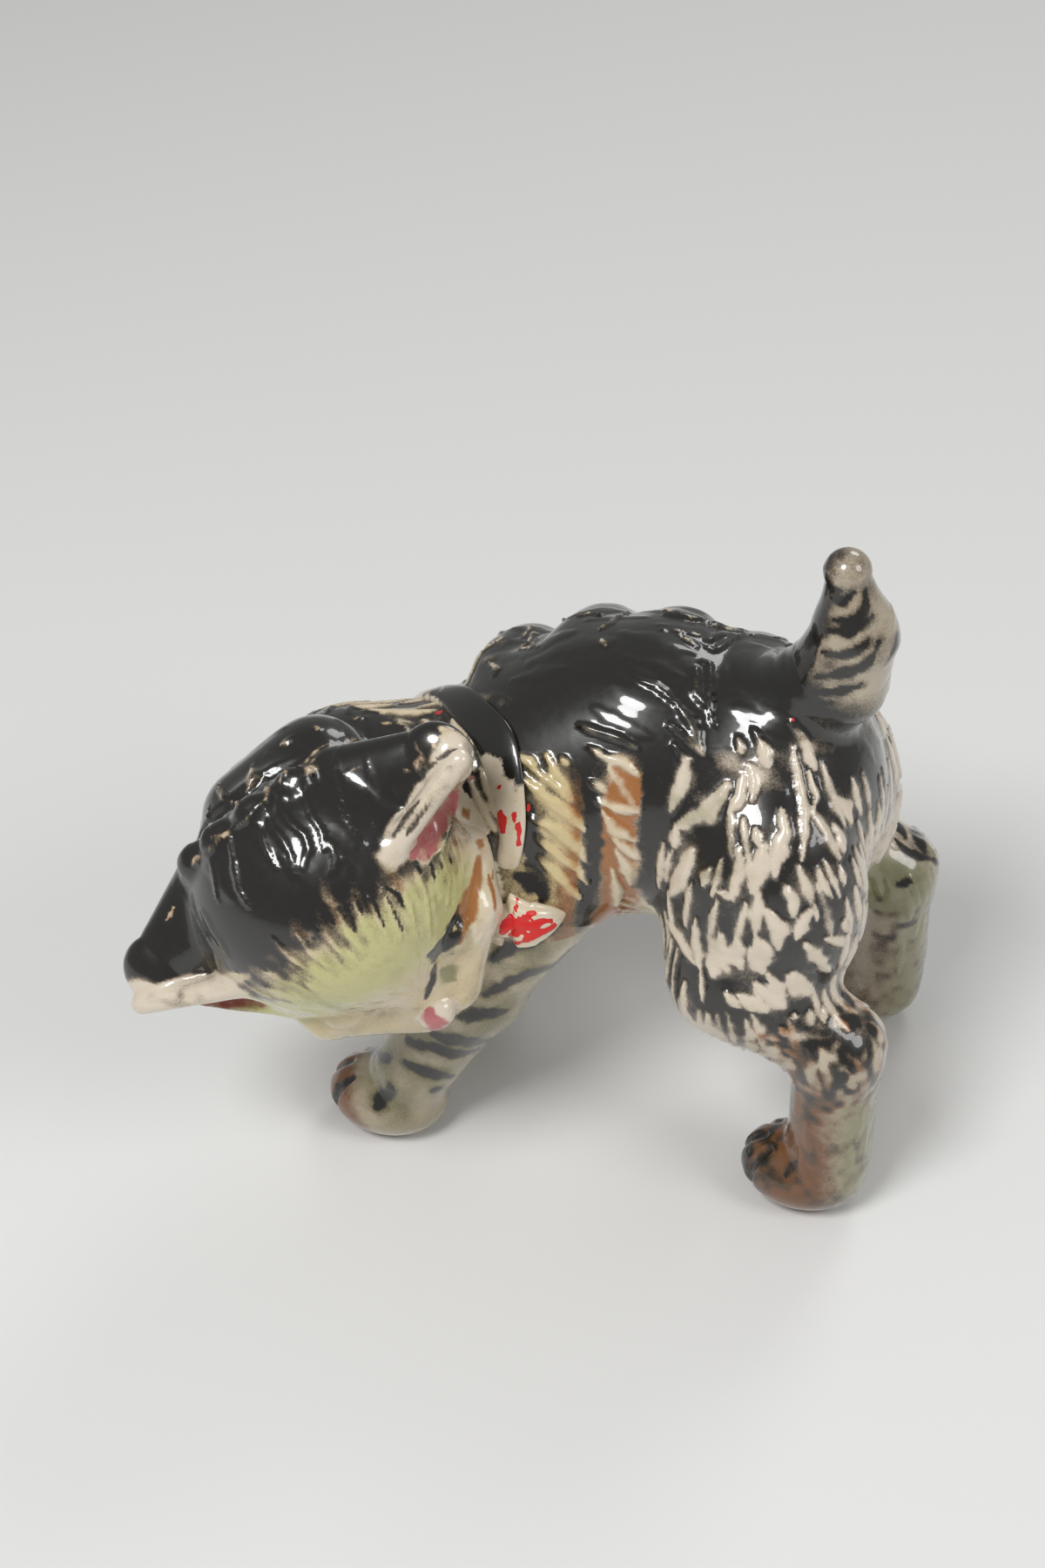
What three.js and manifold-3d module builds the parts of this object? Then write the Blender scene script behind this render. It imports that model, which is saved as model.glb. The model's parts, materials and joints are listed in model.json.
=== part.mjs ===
// Glazed ceramic kitten, standing with its head turned back over its left shoulder.
//
// Eleven slip castings are luted together with liquid clay and fired into one ornament: a hollow
// torso with its neck, a hollow head, two ears, four legs, an upright tail, and a moulded neck
// ribbon with its bow. Millimetres. X runs from the chest to the tail, the left flank faces -Y,
// and the kitten stands on z = 0.
//
// Every casting is a soft form, sampled by rays that leave its centre line and closed over both
// ends. Neighbours share one form, so the glaze runs on smoothly from one to the next, and each
// piece fills a round-ended socket in the casting that carries it.

import * as THREE from "three";
import { mergeVertices } from "three/addons/utils/BufferGeometryUtils.js";
import Module from "manifold-3d";

const wasm = await Module();
wasm.setup();

// Driving dimensions
const slipGap = 0.3; // between two luted faces
const wall = 3; // thickness of the hollow castings
const leastHollow = 1; // the hollow ends where less than this is left round its middle
const ventDiameter = 3.6; // firing vent under the belly

// Trunk
const trunkLength = 24; // chest centre to rump centre
const chestSize = [27, 28.5, 29.5];
const barrelSize = [32, 29, 33.6];
const rumpSize = [24, 27, 32];
const chestHeight = 42.8;
const backArch = 3.2; // how far the barrel stands above the chest
const rumpHeight = 45;
const trunkSway = 1.5; // chest to the left and rump to the right of the middle
const barrelBack = 10; // behind the chest centre
const barrelSide = 1; // to the right of the middle
const trunkSoftness = 9;

// Locks of fur along the spine
const tuftCount = 4;
const tuftSize = [10, 15, 5];
const tuftPitch = 8.4;
const tuftStart = 5.5; // ahead of the chest centre
const tuftSink = 3.5; // from the back down to the middle of a lock
const tuftSide = 3; // middle of a lock to the right of the spine
const tuftSoftness = 2.5;

// Neck
const neckBase = [-20, -4.5, 41];
const neckEnd = [-32, -10.5, 41.8];
const neckRootDiameter = 25.5;
const neckBaseDiameter = 21.5;
const neckEndDiameter = 21.5;
const neckSoftness = 6;

// Head, in its own frame: X to the nose, Y to its left ear, Z out of the crown
const headPlace = [-28.1, -24.5, 40.6];
const headForward = [0.72, -0.24, -0.65];
const headLeft = [0.69, 0.35, 0.63];
const headMargin = 3.4; // socket beyond the widest part of the head
const headSeatBack = 2.2; // front centre of the socket behind the middle of the muzzle
const skullPlace = [-2.8, 0, 1];
const skullSize = [27.6, 30, 24.4];
const cheekPlace = [3.8, 6.6, -3.9];
const cheekSize = [18.4, 15, 15.4];
const cheekSoftness = 4.5;
const bridgeStart = [3, 0, 4.2];
const bridgeDiameter = 10.5;
const bridgeEndDiameter = 7.4;
const bridgeSoftness = 3.5;
const muzzleSize = [13, 15, 9.4];
const muzzleReach = 11.2;
const muzzleDrop = 5.6;
const muzzleSoftness = 2.5;
const chinSize = [8, 8, 6];
const chinOffset = [-1.2, 0, -4]; // from the middle of the muzzle
const noseSize = [3.4, 4.2, 2.4];
const noseOffset = [4.3, 0, 3.4]; // from the middle of the muzzle
const noseSoftness = 0.8;
const napeRight = [-12.2, -2.5, -1]; // ends of the roll of fur behind the crown
const napeLeft = [-12.4, 5.5, -3];
const napeDiameter = 11.8;
const napeSoftness = 1.2;
const neckJoinSoftness = 3;

// Eyes
const eyeRoot = [6.5, 4.4, -3]; // inside the head, behind the left eye
const eyeFacing = [3.8, 2.2, 5.2];
const eyeSlit = [2.6, 7.2, 2]; // depth, length and height
const eyeballDiameter = 3;
const eyeballDepth = 1.6;

// Ears, each a flat lobe behind a round rim, with a scoop between the rim and a lower edge
const earBack = [-7.4, 11, 3];
const earFar = [-6.2, 19.6, 5.2];
const earBackDiameter = 13;
const earFarDiameter = 7.6;
const earHeight = 4.4; // of the plane that a lobe is pressed flat on
const earFlatness = 1.9;
const leftRim = { root: [-1.4, 9.8, 8.2], tip: [-4.7, 22, 6.6] };
const rightRim = { root: [0.8, 11.2, 6.4], tip: [-4.2, 22.8, 6.4] };
const rimDiameter = 3;
const rimTipDiameter = 2.3;
const scoopFromRoot = [2.4, 0, -2.2];
const scoopFromTip = [2.4, -2.6, -2.2];
const scoopDiameter = 4.2;
const scoopTipDiameter = 2.8;
const edgeFromRoot = [4.6, 0, -4.2];
const edgeFromTip = [-0.4, 0, -3];
const edgeTipDiameter = 2;
const earSoftness = 1.6;
const scoopSoftness = 0.7;
const earMiddle = [-7, 13.6, 4.8];
const earInner = [-7.4, 8.5, 4]; // ends of the line that the rays of its skin leave
const earOuter = [-6, 19.4, 5.6];
const earSocket = { from: [-5.4, 14.6, 4.8], toward: [-5.4, 31, 6.8], diameter: 17 };

// Legs. A joint lies at shares of the stride, of the way out to the paw and of the height.
const shoulderHeight = 36;
const shoulderSpread = 19;
const shoulderBack = 1; // behind the chest centre
const shoulderDiameter = 16.5;
const elbow = { stride: 0.4, out: 0.55, height: 0.61, diameter: 11.2 };
const wrist = { stride: 0.8, out: 0.95, height: 0.25, diameter: 9.6 };
const foreTrack = 33; // between the fore paws
const foreStride = 16; // fore paws ahead of the shoulders
const hipHeight = 39;
const hipSpread = 18.5;
const hipBack = 1.5; // behind the rump centre
const thighSize = [22, 18, 30];
const kneeSize = [15.5, 12, 15];
const knee = { stride: -0.125, out: 0.8, height: 0.78, diameter: 14 };
const hock = { stride: 1.275, out: 0.9, height: 0.6, diameter: 9.8 };
const heel = { stride: 1.35, out: 1, height: 0.19, diameter: 9.6 };
const hindTrack = 31.5; // between the hind paws
const hindStride = 8; // hind paws behind the hips
const pawSize = [14.2, 11.2, 9.4];
const pawSink = 0.5; // cut away flat under each paw
const pawShift = { fore: -0.7, hind: 2.5 }; // both paws of a pair towards the right
const legSoftness = 4;
const pawSoftness = 2.5;
const legMargin = 5; // socket beyond the shoulder or the thigh
const foreSocket = { out: 1.5, back: 2 };
const hindSocket = { out: 5, back: -3.5 };
const toeCount = 4;
const toeCleft = [2.6, 0.5, 3.4]; // depth, width and height of the grooves between the toes
const toeFan = 1.5; // radians from the first toe to the last

// Tail
const tailHeight = 78.6;
const tailRootSink = 4; // below the top of the rump
const tailRootBack = 0.5; // behind the rump centre
const tailRootDiameter = 12;
const tailBend = { back: 5, drop: 16, diameter: 10 };
const tailTop = { back: 6.3, drop: 10, diameter: 8.6 };
const tailTip = { back: 5.5, diameter: 6.6 };
const tailSide = 0.5;
const tailSoftness = 3;
const tailMargin = 3.5; // socket beyond the root of the tail

// Ribbon and bow
const ribbonPlace = [-21, -7.1, 41.3];
const ribbonAxis = [-0.72, -0.68, 0.12];
const ribbonWidth = 3;
const ribbonThickness = 1;
const bowAngle = -101; // degrees round the neck from its top, towards the left
const bowTilt = 0.8; // how far it faces up as well as out
const bowForward = 1.6; // from the middle of the ribbon towards the head
const bowLift = 2.4; // from the shoulder to the middle of the knot
const loopSize = [3, 6, 7.6];
const loopTilt = 0.15; // radians
const knotDiameter = 3.8;

// How finely each skin is sampled
const torsoRays = { axis: "x", sides: 24, capRings: 3, reach: 30 };
const torsoRings = 20;
const headRays = { axis: "x", sides: 28, capRings: 4, reach: 22 };
const headRings = 15;
const hollowRays = { axis: "x", sides: 14, capRings: 2, reach: 26 };
const earRays = { axis: "y", sides: 22, capRings: 3, reach: 13 };
const earRings = 8;
const legRays = { axis: "z", sides: 18, capRings: 3, reach: 17 };
const legRings = 14;
const tailRays = { axis: "z", sides: 18, capRings: 3, reach: 12 };
const tailRings = 15;
const ribbonSteps = 32;

const glaze = { roughness: 0.08, metalness: 0 };
const black = new THREE.MeshStandardMaterial({ color: 0x2a2723, ...glaze });
const tabby = new THREE.MeshStandardMaterial({ color: 0x8d8271, ...glaze });
const cream = new THREE.MeshStandardMaterial({ color: 0xd9d2ad, ...glaze });
const pink = new THREE.MeshStandardMaterial({ color: 0xc98a86, ...glaze });
const redPaint = new THREE.MeshStandardMaterial({ color: 0xd8c4bd, roughness: 0.3, metalness: 0 });

const vec = (values) => new THREE.Vector3(...values);
const sum = (a, b) => a.map((value, index) => value + b[index]);
const mirrored = ([x, y, z], side) => [x, side * y, z];
const AXES = { x: new THREE.Vector3(1, 0, 0), y: new THREE.Vector3(0, 1, 0), z: new THREE.Vector3(0, 0, 1) };

// Soft forms. Each is a function of a point: negative inside, and nearly the distance to the skin.

function egg(at, size) {
  const [rx, ry, rz] = size.map((value) => value / 2);
  const centre = vec(at);
  return (p) => {
    const x = (p.x - centre.x) / rx;
    const y = (p.y - centre.y) / ry;
    const z = (p.z - centre.z) / rz;
    const level = Math.hypot(x, y, z);
    const steepness = Math.hypot(x / rx, y / ry, z / rz);
    return steepness === 0 ? -Math.min(rx, ry, rz) : (level * (level - 1)) / steepness;
  };
}

function limb(from, to, fromDiameter, toDiameter) {
  const start = vec(from);
  const along = vec(to).sub(start);
  const length = along.length();
  const startRadius = fromDiameter / 2;
  const taper = (fromDiameter - toDiameter) / 2;
  along.normalize();
  const offset = new THREE.Vector3();
  return (p) => {
    offset.copy(p).sub(start);
    const distanceAlong = offset.dot(along);
    const distanceOff = Math.sqrt(Math.max(offset.lengthSq() - distanceAlong * distanceAlong, 0));
    const nearest = distanceAlong + (distanceOff * taper) / length;
    const share = THREE.MathUtils.clamp(nearest / length, 0, 1);
    return Math.hypot(distanceAlong - share * length, distanceOff) - startRadius + share * taper;
  };
}

function fuse(softness, ...forms) {
  return (p) => forms.map((form) => form(p)).reduce((a, b) => {
    const overlap = Math.max(softness - Math.abs(a - b), 0) / softness;
    return Math.min(a, b) - (overlap ** 3 * softness) / 6;
  });
}

function carve(softness, form, cutter) {
  const opposite = fuse(softness, (p) => -form(p), cutter);
  return (p) => -opposite(p);
}

const inset = (form, depth) => (p) => form(p) + depth;

// The point where a ray from the inside leaves a form

function leave(form, origin, direction, reach) {
  const shortestStep = reach / 200;
  const cautiousStep = 0.7;
  const halvings = 18;
  const point = new THREE.Vector3();
  const depthAt = (distance) => form(point.copy(origin).addScaledVector(direction, distance));
  let inside = 0;
  let outside = 0;
  let depth = depthAt(0);
  while (depth < 0 && outside < reach) {
    inside = outside;
    outside = Math.min(outside + Math.max(-depth * cautiousStep, shortestStep), reach);
    depth = depthAt(outside);
  }
  if (depth >= 0) {
    for (let halving = 0; halving < halvings; halving += 1) {
      const middle = (inside + outside) / 2;
      if (depthAt(middle) < 0) inside = middle;
      else outside = middle;
    }
  }
  return origin.clone().addScaledVector(direction, Math.max(outside, shortestStep));
}

// A closed skin round a form: rings of rays square to one axis, and a fan of rays over each end

function skin(form, path, { axis, sides, capRings, reach }) {
  const along = AXES[axis];
  const across = axis === "x" ? AXES.y : AXES.x;
  const upward = new THREE.Vector3().crossVectors(along, across);
  const rows = [];
  const addRow = (origin, tilt) => {
    const row = [];
    for (let side = 0; side < sides; side += 1) {
      const turn = (side / sides) * 2 * Math.PI;
      const direction = new THREE.Vector3()
        .addScaledVector(across, Math.cos(turn) * Math.cos(tilt))
        .addScaledVector(upward, Math.sin(turn) * Math.cos(tilt))
        .addScaledVector(along, Math.sin(tilt));
      row.push(leave(form, origin, direction, reach));
    }
    rows.push(row);
  };
  const capTilt = (ring) => ((Math.PI / 2) * ring) / (capRings + 1);
  for (let ring = capRings; ring > 0; ring -= 1) addRow(path[0], -capTilt(ring));
  for (const centre of path) addRow(centre, 0);
  for (let ring = 1; ring <= capRings; ring += 1) addRow(path.at(-1), capTilt(ring));

  const corners = rows.flat();
  const firstPole = corners.push(leave(form, path[0], along.clone().negate(), reach)) - 1;
  const lastPole = corners.push(leave(form, path.at(-1), along, reach)) - 1;
  const faces = [];
  for (let side = 0; side < sides; side += 1) {
    const next = (side + 1) % sides;
    faces.push(firstPole, next, side);
    for (let row = 0; row + 1 < rows.length; row += 1) {
      const a = row * sides + side;
      const b = row * sides + next;
      faces.push(a, b, b + sides, a, b + sides, a + sides);
    }
    const last = (rows.length - 1) * sides;
    faces.push(lastPole, last + side, last + next);
  }
  const geometry = new THREE.BufferGeometry().setFromPoints(corners);
  geometry.setIndex(faces);
  return solid(geometry);
}

// Centres spread evenly along a smooth line through the given points

function centreLine(points, count) {
  return new THREE.CatmullRomCurve3(points.map(vec), false, "centripetal").getSpacedPoints(count - 1);
}

// Solids: manifold joins and cuts them

const sameCorner = 1e-5;

function solid(geometry) {
  const bare = new THREE.BufferGeometry();
  bare.setAttribute("position", geometry.getAttribute("position").clone());
  bare.setIndex(geometry.index.clone());
  const merged = mergeVertices(bare, sameCorner);
  const corners = merged.index.array;
  const faces = [];
  for (let at = 0; at < corners.length; at += 3) {
    const [a, b, c] = corners.slice(at, at + 3);
    if (a !== b && b !== c && c !== a) faces.push(a, b, c);
  }
  return new wasm.Manifold(new wasm.Mesh({
    numProp: 3,
    vertProperties: Float32Array.from(merged.attributes.position.array),
    triVerts: Uint32Array.from(faces),
  }));
}

function toGeometry(shape) {
  const mesh = shape.getMesh();
  const geometry = new THREE.BufferGeometry();
  geometry.setAttribute("position", new THREE.BufferAttribute(Float32Array.from(mesh.vertProperties), 3));
  geometry.setIndex(new THREE.BufferAttribute(Uint32Array.from(mesh.triVerts), 1));
  geometry.computeVertexNormals();
  return geometry;
}

const turned = (shape, matrix) => solid(toGeometry(shape).applyMatrix4(matrix));
const cutBy = (shape, ...cutters) => cutters.reduce((left, cutter) => left.subtract(cutter), shape);

// Cuts can leave loose slivers where two soft faces graze: the casting is the largest piece
function largest(shape) {
  return shape.decompose().reduce((best, piece) => (piece.volume() > best.volume() ? piece : best));
}

// A frame whose X looks out of a surface
function pose(place, outward, zHint) {
  const x = outward.clone().normalize();
  const y = new THREE.Vector3().crossVectors(zHint, x).normalize();
  const z = new THREE.Vector3().crossVectors(x, y);
  return new THREE.Matrix4().makeBasis(x, y, z).setPosition(place);
}

// A rod with round ends from one point towards another, wider by the clearance
function socket({ from, toward, diameter }, clearance) {
  const start = vec(from);
  const along = vec(toward).sub(start);
  const rod = new THREE.CapsuleGeometry(diameter / 2 + clearance, along.length(), 4, 20);
  rod.translate(0, along.length() / 2, 0);
  const turn = new THREE.Quaternion().setFromUnitVectors(AXES.y, along.normalize());
  return solid(rod.applyQuaternion(turn).translate(start.x, start.y, start.z));
}

// The part of a skin that fills its socket
const within = (seat, shape) => shape.intersect(socket(seat, -slipGap / 2));

// Legs: each has its part of the body's form, its lower limb, its centre line and its socket

const chestAt = [-trunkLength / 2, -trunkSway, chestHeight];
const barrelAt = [chestAt[0] + barrelBack, barrelSide, chestHeight + backArch];
const rumpAt = [trunkLength / 2, trunkSway, rumpHeight];
const pawHeight = pawSize[2] / 2 - pawSink;

function jointAt(top, foot, stride, joint) {
  return [top[0] + stride * joint.stride, top[1] + (foot[1] - top[1]) * joint.out, top[2] * joint.height];
}

function foreleg(side) {
  const top = [chestAt[0] + shoulderBack, chestAt[1] + (side * shoulderSpread) / 2, shoulderHeight];
  const foot = [top[0] - foreStride, (side * foreTrack) / 2 + pawShift.fore, pawHeight];
  const elbowAt = jointAt(top, foot, -foreStride, elbow);
  const wristAt = jointAt(top, foot, -foreStride, wrist);
  return {
    upper: limb(top, elbowAt, shoulderDiameter, elbow.diameter),
    lower: limb(elbowAt, wristAt, elbow.diameter, wrist.diameter),
    foot,
    path: [foot, wristAt, elbowAt, top],
    seat: {
      from: [top[0], top[1] + side * foreSocket.out, top[2]],
      toward: [foot[0] + foreSocket.back, foot[1], 0],
      diameter: shoulderDiameter + legMargin,
    },
  };
}

function hindLeg(side) {
  const top = [rumpAt[0] + hipBack, (side * hipSpread) / 2 + trunkSway / 3, hipHeight];
  const foot = [top[0] + hindStride, (side * hindTrack) / 2 + pawShift.hind, pawHeight];
  const kneeAt = jointAt(top, foot, hindStride, knee);
  const hockAt = jointAt(top, foot, hindStride, hock);
  const heelAt = jointAt(top, foot, hindStride, heel);
  return {
    upper: fuse(legSoftness, egg(top, thighSize), egg(kneeAt, kneeSize)),
    lower: fuse(
      legSoftness,
      limb(kneeAt, hockAt, knee.diameter, hock.diameter),
      limb(hockAt, heelAt, hock.diameter, heel.diameter),
    ),
    foot,
    path: [foot, heelAt, hockAt, kneeAt, top],
    seat: {
      from: [top[0], top[1] + side * hindSocket.out, top[2]],
      toward: [foot[0] + hindSocket.back, foot[1], 0],
      diameter: thighSize[0] + legMargin,
    },
  };
}

const legs = {
  left_foreleg: foreleg(-1),
  right_foreleg: foreleg(1),
  left_hind_leg: hindLeg(-1),
  right_hind_leg: hindLeg(1),
};

// Torso and neck

const trunkForm = fuse(
  trunkSoftness,
  egg(chestAt, chestSize),
  egg(barrelAt, barrelSize),
  egg(rumpAt, rumpSize),
);
const neckForm = fuse(
  neckSoftness / 2,
  limb(chestAt, neckBase, neckRootDiameter, neckBaseDiameter),
  limb(neckBase, neckEnd, neckBaseDiameter, neckEndDiameter),
);
const throatForm = fuse(neckSoftness, trunkForm, neckForm);

function spineTuft(index) {
  const above = vec([chestAt[0] - tuftStart + index * tuftPitch, barrelAt[1], chestHeight]);
  const back = leave(trunkForm, above, AXES.z, barrelSize[2]);
  return egg([back.x, back.y + tuftSide, back.z - tuftSink], tuftSize);
}

const spineTufts = Array.from({ length: tuftCount }, (_, index) => spineTuft(index));
const haunchesAndShoulders = Object.values(legs).map((leg) => leg.upper);
const bareForm = fuse(legSoftness, throatForm, ...haunchesAndShoulders);
const torsoForm = fuse(tuftSoftness, bareForm, ...spineTufts);
const torsoPath = centreLine([neckEnd, neckBase, chestAt, barrelAt, rumpAt], torsoRings);
const torsoSkin = skin(torsoForm, torsoPath, torsoRays);
const torsoRoom = skin(inset(torsoForm, -slipGap), torsoPath, torsoRays);

const torsoHollow = inset(bareForm, wall);
const hollowPath = torsoPath.filter((centre, index) => index % 2 === 0 && torsoHollow(centre) < -leastHollow);
const torsoCavity = skin(torsoHollow, hollowPath, hollowRays);

// Head, modelled in its own frame and then turned into place

const headX = vec(headForward).normalize();
const headZ = new THREE.Vector3().crossVectors(headX, vec(headLeft)).normalize();
const headY = new THREE.Vector3().crossVectors(headZ, headX);
const headPose = new THREE.Matrix4().makeBasis(headX, headY, headZ).setPosition(vec(headPlace));
const intoHead = headPose.clone().invert();
const pointInBody = new THREE.Vector3();
const neckInHead = (p) => neckForm(pointInBody.copy(p).applyMatrix4(headPose));

const muzzlePlace = [muzzleReach, 0, -muzzleDrop];
const cheeks = [-1, 1].map((side) => egg(mirrored(cheekPlace, side), cheekSize));
const bridgeEnd = [muzzleReach + 1, 0, -muzzleDrop / 2];
const faceParts = [
  [cheekSoftness, cheeks[0]],
  [cheekSoftness, cheeks[1]],
  [bridgeSoftness, limb(bridgeStart, bridgeEnd, bridgeDiameter, bridgeEndDiameter)],
  [muzzleSoftness, egg(muzzlePlace, muzzleSize)],
  [muzzleSoftness, egg(sum(muzzlePlace, chinOffset), chinSize)],
  [noseSoftness, egg(sum(muzzlePlace, noseOffset), noseSize)],
  [napeSoftness, limb(napeRight, napeLeft, napeDiameter, napeDiameter)],
];
const skullForm = egg(skullPlace, skullSize);
const faceForm = faceParts.reduce((form, [softness, part]) => fuse(softness, form, part), skullForm);
const headForm = fuse(neckJoinSoftness, faceForm, neckInHead);

const headBack = [-skullSize[0] / 3, 0, 0];
const headFront = [muzzleReach, 0, -muzzleDrop / 1.4];
const headPath = centreLine([headBack, [0, 0, 0], headFront], headRings);
const headSkin = skin(headForm, headPath, headRays);
const headCavity = skin(inset(headForm, wall), headPath.slice(2, -3), hollowRays);
const headSeat = {
  from: [muzzleReach - headSeatBack, 0, -muzzleDrop / 2],
  toward: headBack,
  diameter: Math.max(skullSize[1], 2 * cheekPlace[1] + cheekSize[1]) + headMargin,
};
const headRoom = turned(
  skin(inset(headForm, -slipGap), headPath, headRays).intersect(socket(headSeat, slipGap / 2)),
  headPose,
);

// Eyes: a slit between the lids with the eyeball deep in it

function eye(side) {
  const facing = vec(mirrored(eyeFacing, side)).normalize();
  const place = leave(faceForm, vec(mirrored(eyeRoot, side)), facing, headRays.reach);
  const turn = pose(place, facing, AXES.z);
  const slit = new THREE.SphereGeometry(0.5, 12, 6).scale(...eyeSlit);
  const ball = new THREE.SphereGeometry(eyeballDiameter / 2, 10, 6).translate(-eyeballDepth, 0, 0);
  return { slit: solid(slit.applyMatrix4(turn)), ball: solid(ball.applyMatrix4(turn)) };
}

// Ears

function flattened(form, height, flatness) {
  const pressed = new THREE.Vector3();
  return (p) => form(pressed.set(p.x, p.y, height + (p.z - height) * flatness)) / flatness;
}

function ear(side, rim) {
  const beside = (point) => mirrored(point, side);
  const off = (end, offset) => beside(sum(end, offset));
  const lobe = limb(beside(earBack), beside(earFar), earBackDiameter, earFarDiameter);
  const edgeEnds = [off(rim.root, edgeFromRoot), off(rim.tip, edgeFromTip)];
  const scoopEnds = [off(rim.root, scoopFromRoot), off(rim.tip, scoopFromTip)];
  const line = [beside(earInner), beside(earMiddle), beside(earOuter)];
  const form = fuse(
    earSoftness,
    flattened(lobe, earHeight, earFlatness),
    limb(beside(rim.root), beside(rim.tip), rimDiameter, rimTipDiameter),
    limb(...edgeEnds, rimDiameter, edgeTipDiameter),
  );
  return {
    form: carve(scoopSoftness, form, limb(...scoopEnds, scoopDiameter, scoopTipDiameter)),
    path: side > 0 ? line : line.reverse(),
    seat: { ...earSocket, from: beside(earSocket.from), toward: beside(earSocket.toward) },
  };
}

const ears = { left_ear: ear(1, leftRim), right_ear: ear(-1, rightRim) };

function earCasting({ form, path, seat }) {
  const lobe = skin(fuse(earSoftness, form, faceForm), centreLine(path, earRings), earRays);
  const neighbours = [torsoRoom, ribbonRoom].map((room) => turned(room, intoHead));
  return largest(cutBy(within(seat, lobe), headCavity, ...neighbours));
}

function headCasting() {
  const eyes = [eye(1), eye(-1)];
  const earSockets = Object.values(ears).map(({ seat }) => socket(seat, slipGap / 2));
  const slits = eyes.map(({ slit }) => slit);
  const cuts = [headCavity, turned(ribbonRoom, intoHead), ...earSockets, ...slits];
  const cut = cutBy(within(headSeat, headSkin), ...cuts);
  return largest(eyes.reduce((head, { ball }) => head.add(ball), cut));
}

// Legs stand flat on the floor, with grooves between the toes

const floorSize = 200;
const floorBlock = new THREE.BoxGeometry(floorSize, floorSize, floorSize);
const floorSlab = solid(floorBlock.translate(0, 0, -floorSize / 2));

function toeClefts(form, foot) {
  const clefts = [];
  for (let cleft = 1; cleft < toeCount; cleft += 1) {
    const swing = (cleft / toeCount - 0.5) * toeFan;
    const outward = new THREE.Vector3(-Math.cos(swing), Math.sin(swing), 0);
    const place = leave(form, vec(foot), outward, legRays.reach);
    clefts.push(solid(new THREE.BoxGeometry(...toeCleft).applyMatrix4(pose(place, outward, AXES.z))));
  }
  return clefts;
}

function legCasting({ lower, foot, path, seat }) {
  const form = fuse(pawSoftness, fuse(legSoftness, torsoForm, lower), egg(foot, pawSize));
  const leg = within(seat, skin(form, centreLine(path, legRings), legRays));
  return largest(cutBy(leg, torsoCavity, floorSlab, headRoom, ribbonRoom, ...toeClefts(form, foot)));
}

// Tail

const tailRootAt = [rumpAt[0] + tailRootBack, tailSide, rumpHeight + rumpSize[2] / 2 - tailRootSink];
const onTail = ({ back, drop }) => [tailRootAt[0] + back, tailSide, tailHeight - drop];
const tailEnd = onTail({ back: tailTip.back, drop: tailTip.diameter / 2 });
const tailLine = [tailRootAt, onTail(tailBend), onTail(tailTop), tailEnd];
const tailForm = fuse(
  tailSoftness,
  limb(tailLine[0], tailLine[1], tailRootDiameter, tailBend.diameter),
  limb(tailLine[1], tailLine[2], tailBend.diameter, tailTop.diameter),
  limb(tailLine[2], tailEnd, tailTop.diameter, tailTip.diameter),
);
const tailSeat = { from: tailRootAt, toward: tailEnd, diameter: tailRootDiameter + tailMargin };

function tailCasting() {
  const tail = skin(fuse(tailSoftness, tailForm, torsoForm), centreLine(tailLine, tailRings), tailRays);
  return largest(cutBy(within(tailSeat, tail), torsoCavity));
}

// Ribbon round the neck, in a shallow groove

const ribbonCentre = vec(ribbonPlace);
const ribbonNormal = vec(ribbonAxis).normalize();
const ribbonSide = new THREE.Vector3().crossVectors(ribbonNormal, AXES.z).normalize();
const ribbonUp = new THREE.Vector3().crossVectors(ribbonSide, ribbonNormal).normalize();

function roundNeck(form, turn, sideways) {
  const direction = new THREE.Vector3()
    .addScaledVector(ribbonUp, Math.cos(turn))
    .addScaledVector(ribbonSide, Math.sin(turn));
  const origin = ribbonCentre.clone().addScaledVector(ribbonNormal, sideways);
  return { direction, seat: leave(form, origin, direction, torsoRays.reach) };
}

// Corners of the band's section, as shares of its half width and of its thickness
const bandSection = [[-1, 0], [0, 0], [1, 0], [0.9, 0.6], [0.4, 1], [-0.4, 1], [-0.9, 0.6]];

function ribbonBand(clearance) {
  const halfWidth = ribbonWidth / 2 + clearance;
  const corners = [];
  const faces = [];
  for (let step = 0; step < ribbonSteps; step += 1) {
    const turn = (step / ribbonSteps) * 2 * Math.PI;
    const here = step * bandSection.length;
    const there = ((step + 1) % ribbonSteps) * bandSection.length;
    bandSection.forEach(([sideways, height], corner) => {
      const { direction, seat } = roundNeck(throatForm, turn, sideways * halfWidth);
      const lift = height * ribbonThickness + (height === 0 ? -clearance : clearance);
      corners.push(seat.addScaledVector(direction, lift));
      const next = (corner + 1) % bandSection.length;
      faces.push(here + corner, here + next, there + next, here + corner, there + next, there + corner);
    });
  }
  const geometry = new THREE.BufferGeometry().setFromPoints(corners);
  geometry.setIndex(faces);
  return solid(geometry);
}

const ribbonRoom = ribbonBand(slipGap);

// Bow: a knot with a loop on either side of the ribbon, seated on the shoulder

function bowCasting() {
  const { direction, seat } = roundNeck(torsoForm, THREE.MathUtils.degToRad(bowAngle), bowForward);
  const facing = direction.clone().addScaledVector(AXES.z, bowTilt).normalize();
  const turn = pose(seat.addScaledVector(facing, bowLift), facing, ribbonNormal);
  const lump = (size, along, tilt) => {
    const ball = new THREE.SphereGeometry(0.5, 16, 8).scale(...size).rotateX(tilt);
    return solid(ball.translate(0, 0, along).applyMatrix4(turn));
  };
  const knot = lump([knotDiameter, knotDiameter, knotDiameter], 0, 0);
  const loops = [-1, 1].map((side) => lump(loopSize, (side * loopSize[2]) / 2, -side * loopTilt));
  const bow = loops.reduce((joined, loop) => joined.add(loop), knot);
  return largest(cutBy(bow, torsoRoom, headRoom, ribbonRoom));
}

// The torso carries everything else

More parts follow.
